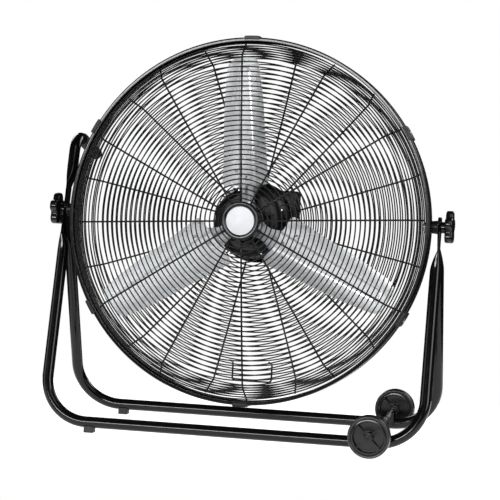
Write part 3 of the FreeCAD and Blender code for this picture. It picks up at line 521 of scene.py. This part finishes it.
def pressed_sections(facing, side, tangent, rises, handle):
    """Sections up one leg, from the round tube through the flat to its end."""
    _, across = leg_directions(facing)
    lap = side * (LAP_X - facing * FLAT_T / 2)
    flat_low = LEG_LENGTH - FLAT_BELOW
    flat_high = LEG_LENGTH + (HANDLE_FLAT if handle else FLAT_ABOVE)
    sections = []
    for rise in rises:
        if rise < flat_low:
            openness = ease_out((flat_low - rise) / TRANSITION)
        elif rise > flat_high:
            openness = ease_out(min(1.0, (rise - flat_high) / TRANSITION))
        else:
            openness = 0.0
        thick = FLAT_T / 2 + (TUBE_R - FLAT_T / 2) * openness
        wide = FLAT_W / 2 + (TUBE_R - FLAT_W / 2) * openness ** 1.5
        if not handle:
            over = rise - (flat_high - FLAT_W / 2)
            if over > 0:
                wide = max(FLAT_T / 2, math.sqrt(max(0.0, (FLAT_W / 2) ** 2 - over ** 2)))
        x = lap + (side * LEG_X - lap) * openness
        sections.append(tube_ring(leg_point(facing, x, rise), tangent, across, thick, wide))
    return sections


def leg_rises(handle):
    """Heights up the leg where its section is drawn, from the round tube to its top."""
    flat_low = LEG_LENGTH - FLAT_BELOW
    rises = list(np.linspace(flat_low - TRANSITION, flat_low, HALF_FLAT_STEPS))
    if handle:
        high = LEG_LENGTH + HANDLE_FLAT
        rises += list(np.linspace(flat_low, high, 5)[1:])
        rises += list(np.linspace(high, high + TRANSITION, HALF_FLAT_STEPS)[1:])
        return rises
    high = LEG_LENGTH + FLAT_ABOVE
    rises += list(np.linspace(flat_low, high - FLAT_W / 2, 5)[1:])
    rises += [high - FLAT_W / 2 * (1 - math.sin(math.radians(a))) for a in range(9, 91, 9)]
    return rises


def corner_sections(facing, side, way):
    """Sections round a lower corner: way is -1 from the leg to the rail, and 1 back up."""
    along, across = leg_directions(facing)
    centre = leg_point(facing, side * (LEG_X - BEND_R), BEND_R)
    out = Vector((side, 0, 0))
    sections = []
    for step in range(CORNER_STEPS + 1):
        turned = 90 * step / CORNER_STEPS
        angle = math.radians(turned if way < 0 else 90 - turned)
        spot = centre + out * (BEND_R * math.cos(angle)) - along * (BEND_R * math.sin(angle))
        tangent = (along * math.cos(angle) + out * math.sin(angle)) * way
        sections.append(tube_ring(spot, tangent, across, TUBE_R, TUBE_R))
    return sections


def handle_corner():
    """Corner of the handle's centre line, its heading and how much of it the bend takes."""
    corner = leg_point(-1, -LEG_X, LEG_LENGTH + HANDLE_RISE)
    heading = Vector((0, math.cos(HANDLE_DROOP), -math.sin(HANDLE_DROOP)))
    turn = math.pi / 2 - LEAN + HANDLE_DROOP
    return corner, heading, HANDLE_BEND_R * math.tan(turn / 2)


def handle_sections():
    """Sections from the handle's free end, round its bend and down to the leg."""
    corner, heading, reach = handle_corner()
    along, _ = leg_directions(-1)
    path = [corner + heading * (reach + GRIP_LENGTH - GRIP_END)]
    path.append(corner + heading * (reach + GRIP_LENGTH / 2))
    bend = filleted([path[0], corner, corner - along * 2 * reach], HANDLE_BEND_R, 24)
    path += bend[1:-1]
    sections = []
    for i, point in enumerate(path):
        if i < 3:
            tangent = -heading
        elif i == len(path) - 1:
            tangent = -along
        else:
            tangent = (path[i + 1] - path[i - 1]).normalized()
        normal = Vector((1, 0, 0)).cross(tangent)
        sections.append(tube_ring(point, tangent, normal, TUBE_R, TUBE_R))
    return sections


def frame_tube(facing, handle):
    """Frame tube from its left end, down, along the rail and up its right leg."""
    along, _ = leg_directions(facing)
    left = leg_rises(handle)[::-1]
    sections = handle_sections() if handle else []
    sections += pressed_sections(facing, -1, -along, left, handle)
    sections += corner_sections(facing, -1, -1)
    sections += corner_sections(facing, 1, 1)
    sections += pressed_sections(facing, 1, along, leg_rises(False), False)
    return skin(sections)


def bored(made, cutters):
    """Cut closed shapes out of a piece and keep the result as its mesh."""
    tool = new_object("cutter", *joined(cutters))
    cut = made.modifiers.new("bore", "BOOLEAN")
    cut.operation = "DIFFERENCE"
    cut.solver = "EXACT"
    cut.object = tool
    scene_now = bpy.context.evaluated_depsgraph_get()
    result = bpy.data.meshes.new_from_object(made.evaluated_get(scene_now))
    made.modifiers.clear()
    made.data = result
    bpy.data.objects.remove(tool)


def pivot_holes():
    holes = []
    for side in (-1, 1):
        path = [(side * (LAP_X - HOLE_REACH), 0, PIVOT_Z),
                (side * (LAP_X + HOLE_REACH), 0, PIVOT_Z)]
        holes.append(rod(path, BOLT_HOLE_R, 32))
    return holes


def make_rack():
    for node, facing, handle in (("front_frame_tube", -1, True), ("rear_frame_tube", 1, False)):
        bored(piece(node, frame_tube(facing, handle), "stand"), pivot_holes())
    piece("handle_grip", grip_part(), "stand")


def grip_part():
    """Rubber sleeve with rolled ends and a band of shallow finger grooves."""
    corner, heading, reach = handle_corner()
    start = corner + heading * reach
    normal = Vector((1, 0, 0)).cross(heading)
    rings = []
    for t in np.linspace(0, 1, GRIP_STEPS + 1):
        distance = t * GRIP_LENGTH
        radius = GRIP_R
        from_end = min(distance, GRIP_LENGTH - distance)
        if from_end < GRIP_ROLL:
            rolled = 1 - from_end / GRIP_ROLL
            radius -= GRIP_ROLL_DEPTH * (1 - math.sqrt(max(0.0, 1 - rolled ** 2)))
        if GROOVES_FROM_END < distance < GRIP_LENGTH - GROOVES_FROM_END:
            wave = math.sin(math.pi * (distance - GROOVES_FROM_END) / GROOVE_PITCH)
            radius -= GROOVE_DEPTH * wave ** 2
        rings.append(tube_ring(start + heading * distance, heading, normal, radius, radius))
    return skin(rings)


# ---------------------------------------------------------------- wheels and axle caps

def wheel_matrix(facing):
    return Matrix.Translation((AXLE_X, facing * WHEEL_Y, WHEEL_R))


def wheel_disc_part():
    """Moulded disc: a rim, a thin web, a hub and the ribs on both faces."""
    half = WHEEL_W / 2
    outline = [(RIM_R - 5 * MM, -half + 1 * MM), (RIM_R, -half + 2 * MM),
               (RIM_R, half - 2 * MM), (RIM_R - 5 * MM, half - 1 * MM),
               (RIM_R - 6 * MM, WEB_HALF), (HUB_R, WEB_HALF),
               (HUB_R - 1 * MM, half - 0.6 * MM), (BORE_R, half - 0.2 * MM),
               (BORE_R, -half + 0.2 * MM), (HUB_R - 1 * MM, -half + 0.6 * MM),
               (HUB_R, -WEB_HALF), (RIM_R - 6 * MM, -WEB_HALF)]
    parts = [lathe(softened(outline, 1.2 * MM), 96)]
    rib_in, rib_out = HUB_R - 2 * MM, RIM_R - 4.5 * MM
    rib_outline = softened([(rib_in, -RIB_HALF), (rib_out, -RIB_HALF),
                            (rib_out, RIB_HALF), (rib_in, RIB_HALF)], 0.4 * MM)
    for turn in range(WHEEL_RIBS):
        place = Matrix.Rotation(math.radians(45 + 360 / WHEEL_RIBS * turn), 4, "Y")
        for side in (-1, 1):
            low, high = sorted((side * 2.2 * MM, side * (half - 3 * MM)))
            parts.append(moved(prism(rib_outline, low, high), place))
    return joined(parts)


def wheel_tyre_part():
    half = WHEEL_W / 2
    outline = [(RIM_R, -half + 2 * MM), (RIM_R + 1.5 * MM, -half + 0.6 * MM),
               (WHEEL_R - 3 * MM, -half), (WHEEL_R - 0.9 * MM, -half + 1.2 * MM),
               (WHEEL_R, -half + 4.5 * MM), (WHEEL_R, half - 4.5 * MM),
               (WHEEL_R - 0.9 * MM, half - 1.2 * MM), (WHEEL_R - 3 * MM, half),
               (RIM_R + 1.5 * MM, half - 0.6 * MM), (RIM_R, half - 2 * MM)]
    return lathe(softened(outline, 1.5 * MM), 128)


def axle_cap_part():
    """Push-on cap whose face is dished round the end of the axle."""
    low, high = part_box("axle_caps")
    radius = (high[2] - low[2]) / 2
    outer = high[1]
    inner = joints["wheel_rear_spin"]["pos_m"][1] + WHEEL_W / 2 + CAP_GAP
    floor = outer - CAP_DISH_DEPTH
    outline = [(0.0, inner), (radius, inner), (radius, outer - 1.5 * MM),
               (radius - 1.5 * MM, outer), (CAP_DISH_R, outer),
               (CAP_DISH_R - 0.4 * MM, floor), (0.0, floor)]
    return lathe(softened(outline, 0.5 * MM), 64)


def make_axle_caps():
    caps = []
    for facing in (-1, 1):
        turned = Matrix.Rotation(0.0 if facing > 0 else math.pi, 4, "Z")
        caps.append(moved(axle_cap_part(), Matrix.Translation((AXLE_X, 0, WHEEL_R)) @ turned))
    piece("axle_caps", joined(caps), "stand")


def make_wheels():
    for name, facing in (("front", -1), ("rear", 1)):
        place = wheel_matrix(facing)
        piece("wheel_disc_" + name, moved(wheel_disc_part(), place), "wheel_" + name)
        piece("wheel_tyre_" + name, moved(wheel_tyre_part(), place), "wheel_" + name)


# ---------------------------------------------------------------- knobs

def pivot_matrix(side):
    """Y runs outwards along the pivot axis."""
    turn = Matrix.Rotation(math.radians(-90 * side), 4, "Z")
    return Matrix.Translation((0, 0, PIVOT_Z)) @ turn


def lobed(angle):
    """Radius of the knob's star outline."""
    wave = 0.5 + 0.5 * math.cos(KNOB_LOBES * angle)
    return KNOB_R - KNOB_LOBE_DEPTH * (1 - wave) ** 1.6


def star_knob_part():
    """Five-lobed knob: the lobes roll over at both faces and meet a dished middle."""
    stem_in = LAP_X + FLAT_T + KNOB_GAP
    head_in = stem_in + KNOB_STEM_L
    head_out = head_in + KNOB_T
    # (distance, radius) up the stem and over the dish, and between them the lobed head's
    # (height, size) levels
    stem = [(stem_in, KNOB_STEM_R - 1 * MM), (stem_in + 1 * MM, KNOB_STEM_R),
            (head_in - 2 * MM, KNOB_STEM_R), (head_in - 0.4 * MM, KNOB_STEM_R + 1.6 * MM)]
    levels = [(0.0, 0.80), (0.5 * MM, 0.90), (2.0 * MM, 0.97), (4.5 * MM, 1.0),
              (KNOB_T - 4.5 * MM, 1.0), (KNOB_T - 2.0 * MM, 0.97), (KNOB_T - 0.5 * MM, 0.90),
              (KNOB_T, 0.80)]
    dish = [(head_out - 0.3 * MM, 14.5 * MM), (head_out - 1.6 * MM, 13.0 * MM),
            (head_out - 2.0 * MM, 11.0 * MM), (head_out - 2.0 * MM, 3.0 * MM)]
    quarter = math.pi / 2
    angles = [2 * math.pi * k / KNOB_SIDES + quarter for k in range(KNOB_SIDES)]
    outlines = [(y, [radius] * KNOB_SIDES) for y, radius in stem]
    outlines += [(head_in + lift, [lobed(a - quarter) - KNOB_R * (1 - size) * 0.6
                                   for a in angles]) for lift, size in levels]
    outlines += [(y, [radius] * KNOB_SIDES) for y, radius in dish]
    return skin([[(radius * math.cos(a), y, radius * math.sin(a))
                  for a, radius in zip(angles, radii)] for y, radii in outlines])


def make_pivots():
    """The knobs, which lean with the head at rest."""
    pivot = Matrix.Translation((0, 0, PIVOT_Z))
    lean = pivot @ Matrix.Rotation(KNOB_TILT, 4, "X") @ pivot.inverted()
    for name, side in (("left", -1), ("right", 1)):
        part = moved(star_knob_part(), lean @ pivot_matrix(side))
        piece("pivot_knob_" + name, part, "knob_" + name)


# ---------------------------------------------------------------- hoop and grilles

def hoop_part():
    """Channel-shaped hoop, rounder at its two outer corners."""
    half = HOOP_DEPTH / 2
    lip = HOOP_R - HOOP_LIP
    web = HOOP_R - HOOP_WALL
    outline = [(lip, -half), (HOOP_R, -half), (HOOP_R, half), (lip, half),
               (lip, half - HOOP_WALL), (web, half - HOOP_WALL),
               (web, -half + HOOP_WALL), (lip, -half + HOOP_WALL)]
    radii = [HOOP_CORNER_R if i in (1, 2) else LIP_CORNER_R for i in range(len(outline))]
    return lathe(softened(outline, radii, 6), 320)


def face_height(radius, profile):
    """Y of the shallow dome between the hub and the shoulder."""
    (inner, low), (outer, high), _ = profile
    part = (radius - inner) / (outer - inner)
    return low + (high - low) * part * part


def ring_part(radius, y, thickness=WIRE_R):
    return lathe(circle(thickness, WIRE_SIDES, (radius, y)), RING_SEGMENTS)


def face_rings_part(profile, first):
    rings = []
    radius = first
    while radius < profile[1][0] - RING_PITCH / 2:
        rings.append(ring_part(radius, face_height(radius, profile)))
        radius += RING_PITCH
    return joined(rings)


def shoulder_rings_part(profile):
    _, (r_top, y_top), (r_low, y_low) = profile
    run = math.hypot(r_low - r_top, y_low - y_top)
    steps = int(run / SHOULDER_PITCH)
    rings = []
    for step in range(steps):
        part = step / steps
        rings.append(ring_part(r_top + (r_low - r_top) * part, y_top + (y_low - y_top) * part))
    return joined(rings)


def spokes_part(profile, first_r, inward, phase):
    """Radial wires behind the rings, bent over the shoulder and ending at the rim."""
    _, (r_top, y_top), (r_low, y_low) = profile
    sink = WIRE_R + SPOKE_R + WELD_GAP
    drop = inward * sink
    slope = math.atan2(abs(y_top - y_low), r_low - r_top)
    knee = sink / math.tan((math.pi - slope) / 2)
    path = []
    for part in np.linspace(0, 1, 9)[:-1]:
        radius = first_r + (r_top - first_r) * part
        path.append(Vector((radius, face_height(radius, profile) + drop, 0)))
    bend = filleted([path[-1], (r_top - knee, y_top + drop, 0),
                     (r_low - sink * math.sin(slope), y_low + drop * math.cos(slope), 0)],
                    SPOKE_BEND_R)
    wire = rod(path[:-1] + bend, SPOKE_R)
    return joined([moved(wire, Matrix.Rotation(math.radians(-phase - 360 / SPOKES * n), 4, "Y"))
                   for n in range(SPOKES)])


def badge_ring_part():
    front = BADGE_FRONT_Y
    back = FRONT_HUB_Y + WIRE_R + 5 * MM
    outline = [(BADGE_DISC_R, front + 3 * MM), (BADGE_DISC_R + 3 * MM, front + 0.2 * MM),
               (BADGE_R - 3 * MM, front), (BADGE_R, front + 4 * MM), (BADGE_R, back),
               (BADGE_DISC_R - 6 * MM, back), (BADGE_DISC_R - 6 * MM, back - 2.5 * MM),
               (BADGE_DISC_R, back - 2.5 * MM)]
    return lathe(softened(outline, 1.6 * MM, 5), 128)


def badge_disc_part():
    """Plain, slightly domed disc."""
    edge = BADGE_DISC_R - 0.1 * MM
    front = BADGE_FRONT_Y + 2 * MM
    back = FRONT_HUB_Y + WIRE_R + 2.5 * MM
    outline = [(0.0, front - BADGE_DOME)]
    for part in np.linspace(0.1, 1.0, 12):
        outline.append((edge * part, front - BADGE_DOME * (1 - part ** 2)))
    outline += [(edge, back), (0.0, back)]
    return lathe(outline, 96)


def clip_part():
    """Moulded clip: a curved strap over the hoop with returns over both lips."""
    half = HOOP_DEPTH / 2
    inner = HOOP_R + 0.05 * MM
    outer = HOOP_R + CLIP_T
    end = HOOP_R - CLIP_GRIP
    lip, face = half + 0.1 * MM, half + 2 * MM
    profile = softened([(inner, -lip), (end, -lip), (end, -face), (outer, -face),
                        (outer, face), (end, face), (end, lip), (inner, lip)], 1.1 * MM)
    spread = CLIP_W / 2 / HOOP_R
    rings = []
    for angle in np.linspace(-spread, spread, 13):
        tuck = CLIP_TUCK if abs(angle) > spread * 0.99 else 0.0
        ring = []
        for radius, y in profile:
            radius -= tuck if radius > inner else 0.0
            ring.append((radius * math.cos(angle), y, radius * math.sin(angle)))
        rings.append(ring)
    return skin(rings)


def make_guards():
    guards = (
        ("trim_hoop", hoop_part()),
        ("front_grille_rings", face_rings_part(FRONT_PROFILE, BADGE_R + 6 * MM)),
        ("front_shoulder_rings", shoulder_rings_part(FRONT_PROFILE)),
        ("front_grille_spokes", spokes_part(FRONT_PROFILE, BADGE_R - 8 * MM, 1, SPOKE_PHASE)),
        ("front_grille_rim", ring_part(RIM_AT, -RIM_Y, RIM_WIRE_R)),
        ("rear_grille_rings", face_rings_part(REAR_PROFILE, PLATE_R + 8 * MM)),
        ("rear_shoulder_rings", shoulder_rings_part(REAR_PROFILE)),
        ("rear_grille_spokes", spokes_part(REAR_PROFILE, PLATE_R + 1 * MM, -1, REAR_SPOKE_PHASE)),
        ("rear_grille_rim", ring_part(RIM_AT, RIM_Y, RIM_WIRE_R)),
        ("badge_ring", badge_ring_part()),
        ("badge_disc", badge_disc_part()),
    )
    for node, part in guards:
        piece(node, moved(part, FAN), "head")
    clips = [moved(clip_part(), around_fan(CLIP_PHASE + 360 / CLIPS * turn))
             for turn in range(CLIPS)]
    piece("grille_clips", joined(clips), "head")


# ---------------------------------------------------------------- blades

def station_curves(stations):
    """Smooth curves of chord, pitch and camber through the stations."""
    table = np.array(stations)
    return [np.polyfit(table[:, 0], table[:, k], 3) for k in (1, 2, 3)]


def strip_point(radius, side, curves, lift):
    """Point on a cambered, twisted strip, side along its chord and lift in front of it."""
    chord, pitch, bow = [float(np.polyval(curve, radius)) for curve in curves]
    tilt = math.radians(pitch)
    across = np.array([0, math.sin(tilt), math.cos(tilt)])
    normal = np.array([0, -math.cos(tilt), math.sin(tilt)])
    sag = bow * (1 - (2 * side / chord) ** 2)
    return np.array([radius, BLADE_Y, 0]) + across * side + normal * (lift - sag)


def blade_half_width(radius, chord):
    root, tip = BLADE_STATIONS[0][0], BLADE_STATIONS[-1][0]
    half = chord / 2
    for corner, past in ((TIP_CORNER_R, radius - (tip - TIP_CORNER_R)),
                         (ROOT_CORNER_R, (root + ROOT_CORNER_R) - radius)):
        if past > 0:
            half -= corner - math.sqrt(max(0.0, corner ** 2 - past ** 2))
    return half


def pad_lift(radius, side):
    """Height of the long pressed pad that stiffens the blade."""
    along = (radius - BLADE_STATIONS[0][0]) / (PAD_END - BLADE_STATIONS[0][0])
    half = (PAD_ROOT_HALF - PAD_NARROWING * min(1.0, max(0.0, along))) * MM
    end = PAD_END - half
    beyond = max(0.0, radius - end)
    distance = math.hypot(beyond, side) - half if beyond > 0 else abs(side) - half
    t = min(1.0, max(0.0, 0.5 - distance / PAD_RAMP))
    return PAD_HEIGHT * t * t * (3 - 2 * t)


def closed_sheet(front, back, rows, columns):
    """Two sheets of points, joined all round their edge into one closed shell."""
    faces = sheet_faces(rows, columns)
    count = rows * columns
    faces += [tuple(count + i for i in reversed(face)) for face in faces]
    edge = list(range(columns))
    edge += [i * columns + columns - 1 for i in range(1, rows)]
    edge += [(rows - 1) * columns + j for j in range(columns - 2, -1, -1)]
    edge += [i * columns for i in range(rows - 2, 0, -1)]
    for a, b in zip(edge, edge[1:] + edge[:1]):
        faces.append((a, count + a, count + b, b))
    return np.array(front + back), faces


def blade_part():
    curves = station_curves(BLADE_STATIONS)
    root, tip = BLADE_STATIONS[0][0], BLADE_STATIONS[-1][0]
    # closer rows at both ends, where the corners are rounded
    parts = 0.5 - 0.5 * np.cos(np.linspace(0.0, math.pi, BLADE_ROWS))
    front, back = [], []
    for radius in root + (tip - root) * parts:
        chord = float(np.polyval(curves[0], radius))
        half = blade_half_width(radius, chord)
        for s in np.linspace(-half, half, BLADE_COLUMNS):
            lift = pad_lift(radius, s)
            front.append(strip_point(radius, s, curves, lift))
            back.append(strip_point(radius, s, curves, lift - BLADE_T))
    return closed_sheet(front, back, BLADE_ROWS, BLADE_COLUMNS)


def spider_arm_part():
    """One pressed arm, which follows the back of its blade."""
    arm_curves = station_curves(SPIDER_STATIONS)
    blade_curves = station_curves(BLADE_STATIONS)
    blade_root = BLADE_STATIONS[0][0]
    start, tip = SPIDER_STATIONS[0][0], SPIDER_STATIONS[-1][0]
    front, back = [], []
    for radius in np.linspace(start, tip, SPIDER_ROWS):
        chord = float(np.polyval(arm_curves[0], radius))
        half = chord / 2
        past = radius - (tip - SPIDER_CORNER_R)
        if past > 0:
            half -= SPIDER_CORNER_R - math.sqrt(max(0.0, SPIDER_CORNER_R ** 2 - past ** 2))
        behind = BLADE_T + SPIDER_BEHIND
        if radius > blade_root:
            full = float(np.polyval(blade_curves[0], radius))
            bow = float(np.polyval(blade_curves[2], radius))
            behind += bow * (1 - (chord / full) ** 2)
        else:
            behind += SPIDER_SAG
        crest = SPIDER_RIB if radius < SPIDER_RIB_END else 0.0
        for s in np.linspace(-half, half, SPIDER_COLUMNS):
            rib = crest * math.exp(-((s / SPIDER_RIB_HALF) ** 2))
            front.append(strip_point(radius, s, arm_curves, rib - behind))
            back.append(strip_point(radius, s, arm_curves, rib - behind - SPIDER_T))
    return closed_sheet(front, back, SPIDER_ROWS, SPIDER_COLUMNS)


def spider_part():
    """Hub and three arms that lie behind the blades."""
    arm = spider_arm_part()
    arms = [moved(arm, Matrix.Rotation(math.radians(-angle), 4, "Y")) for angle in BLADE_ANGLES]
    outline = [(SHAFT_R, BLADE_Y - 20 * MM), (20 * MM, BLADE_Y - 20 * MM),
               (HUB_NECK_R, BLADE_Y - 8 * MM), (HUB_FLANGE_R, BLADE_Y - 3 * MM),
               (HUB_FLANGE_R, BLADE_Y + 9 * MM), (HUB_NECK_R, BLADE_Y + 16 * MM),
               (SHAFT_R, BLADE_Y + 16 * MM)]
    return joined(arms + [lathe(softened(outline, 1.5 * MM), 96)])


def rivets_part():
    """Domed rivets through the blades and the spider's arms."""
    tilt = math.radians(RIVET_PITCH)
    normal = Vector((0, -math.cos(tilt), math.sin(tilt)))
    curves = station_curves(BLADE_STATIONS)
    dome = [(0.0, -RIVET_SHANK_L), (RIVET_SHANK_R, -RIVET_SHANK_L), (RIVET_SHANK_R, 0.0),
            (RIVET_HEAD_R, 0.05 * MM), (RIVET_HEAD_R * 0.92, 0.9 * MM),
            (RIVET_HEAD_R * 0.6, 1.7 * MM), (0.0, 2.0 * MM)]
    heads = []
    for angle in BLADE_ANGLES:
        for radius, side in RIVETS:
            lift = pad_lift(radius, side) + RIVET_CLEAR
            turn = Vector((0, 1, 0)).rotation_difference(normal).to_matrix().to_4x4()
            turn.translation = Vector(strip_point(radius, side, curves, lift))
            place = Matrix.Rotation(math.radians(-angle), 4, "Y") @ turn
            heads.append(moved(lathe(dome, 24), place))
    return joined(heads)


def make_rotor():
    for number, angle in enumerate(BLADE_ANGLES, 1):
        piece("blade_%d" % number, moved(blade_part(), around_fan(angle)), "rotor")
    piece("blade_spider", moved(spider_part(), FAN), "rotor")
    piece("blade_rivets", moved(rivets_part(), FAN), "rotor")


# ---------------------------------------------------------------- studio

ROOM_LIGHT = 0.02
FLOOR_GLOW = 0.95
FLOOR_HALF = (0.95, 0.62)

# name, place, what it points at, width and height, power in watts
LIGHTS = (
    ("strip_front", (-2.3, -10.8, 2.9), (0, 0, 0.3), (7.0, 1.3), 850),
    ("box_right", (2.9, -1.6, 1.6), (0, 0, 0.45), (1.5, 2.4), 60),
    ("box_left", (-3.6, -1.6, 0.6), (0, 0, 0.5), (2.0, 2.4), 26),
    ("box_above", (1.1, -2.2, 3.0), (0, 0, 0.5), (1.8, 1.6), 14),
    ("back_left", (-2.8, 3.0, 2.7), (0, 0, 0.4), (2.2, 1.6), 70),
    ("back_right", (2.6, 3.2, 2.4), (0, 0, 0.4), (2.2, 1.6), 55),
)

# camera: angles in degrees, lengths in metres, lens in millimetres
CAMERA_ANGLES = (12.13, 4.27, 2.08)
CAMERA_DISTANCE = 4.182
CAMERA_TARGET = (0.00418, 0.0, PIVOT_Z - 0.07108)
SENSOR_WIDTH = 36.0
LENS = 134.1


def area_light(name, place, target, size, power):
    lamp = bpy.data.lights.new(name, "AREA")
    lamp.shape = "RECTANGLE"
    lamp.size, lamp.size_y = size
    lamp.energy = power
    made = bpy.data.objects.new(name, lamp)
    made.location = place
    made.rotation_mode = "QUATERNION"
    made.rotation_quaternion = (Vector(target) - Vector(place)).to_track_quat("-Z", "Y")
    bpy.context.scene.collection.objects.link(made)


def make_world():
    """White backdrop, which lights and mirrors in the object only as a dim room."""
    world = bpy.data.worlds.new("studio")
    bpy.context.scene.world = world
    world.use_nodes = True
    nodes = world.node_tree.nodes
    links = world.node_tree.links
    room = nodes["Background"]
    room.inputs["Color"].default_value = (0.97, 0.98, 1.0, 1.0)
    room.inputs["Strength"].default_value = ROOM_LIGHT
    backdrop = nodes.new("ShaderNodeBackground")
    backdrop.inputs["Color"].default_value = (1.0, 1.0, 1.0, 1.0)
    path = nodes.new("ShaderNodeLightPath")
    mix = nodes.new("ShaderNodeMixShader")
    links.new(path.outputs["Is Camera Ray"], mix.inputs["Fac"])
    links.new(room.outputs["Background"], mix.inputs[1])
    links.new(backdrop.outputs["Background"], mix.inputs[2])
    links.new(mix.outputs["Shader"], nodes["World Output"].inputs["Surface"])


def make_floor():
    half_x, half_y = FLOOR_HALF
    corners = [(-half_x, -half_y, 0), (half_x, -half_y, 0), (half_x, half_y, 0),
               (-half_x, half_y, 0)]
    floor = new_object("floor", corners, [(0, 1, 2, 3)])
    white = finish("floor_white", (0.80, 0.80, 0.80), 0.8, grain=40, bump=0.02, spread=0.03,
                   tint=0.01)
    shader = white.node_tree.nodes["Principled BSDF"]
    socket(shader, "Emission Color", (1.0, 1.0, 1.0, 1.0))
    socket(shader, "Emission Strength", FLOOR_GLOW)
    floor.data.materials.append(white)


def make_studio():
    make_world()
    make_floor()
    for light in LIGHTS:
        area_light(*light)
    bpy.context.scene.view_settings.view_transform = "Standard"


def make_camera():
    """Slightly from the right of the fan and above its middle, with a small roll."""
    azimuth, elevation, roll = (math.radians(v) for v in CAMERA_ANGLES)
    look = Vector((-math.sin(azimuth) * math.cos(elevation),
                   math.cos(azimuth) * math.cos(elevation), -math.sin(elevation)))
    level = look.cross(Vector((0, 0, 1))).normalized()
    above = level.cross(look)
    right = level * math.cos(roll) + above * math.sin(roll)
    up = above * math.cos(roll) - level * math.sin(roll)
    lens = bpy.data.cameras.new("camera")
    lens.sensor_width = SENSOR_WIDTH
    lens.lens = LENS
    lens.clip_end = 50.0
    made = bpy.data.objects.new("camera", lens)
    matrix = Matrix((right, up, -look)).transposed().to_4x4()
    matrix.translation = Vector(CAMERA_TARGET) - look * CAMERA_DISTANCE
    made.matrix_world = matrix
    bpy.context.scene.collection.objects.link(made)
    bpy.context.scene.camera = made


dress_cad_nodes()
make_rack()
make_wheels()
make_axle_caps()
make_pivots()
make_guards()
make_rotor()
make_studio()
make_camera()
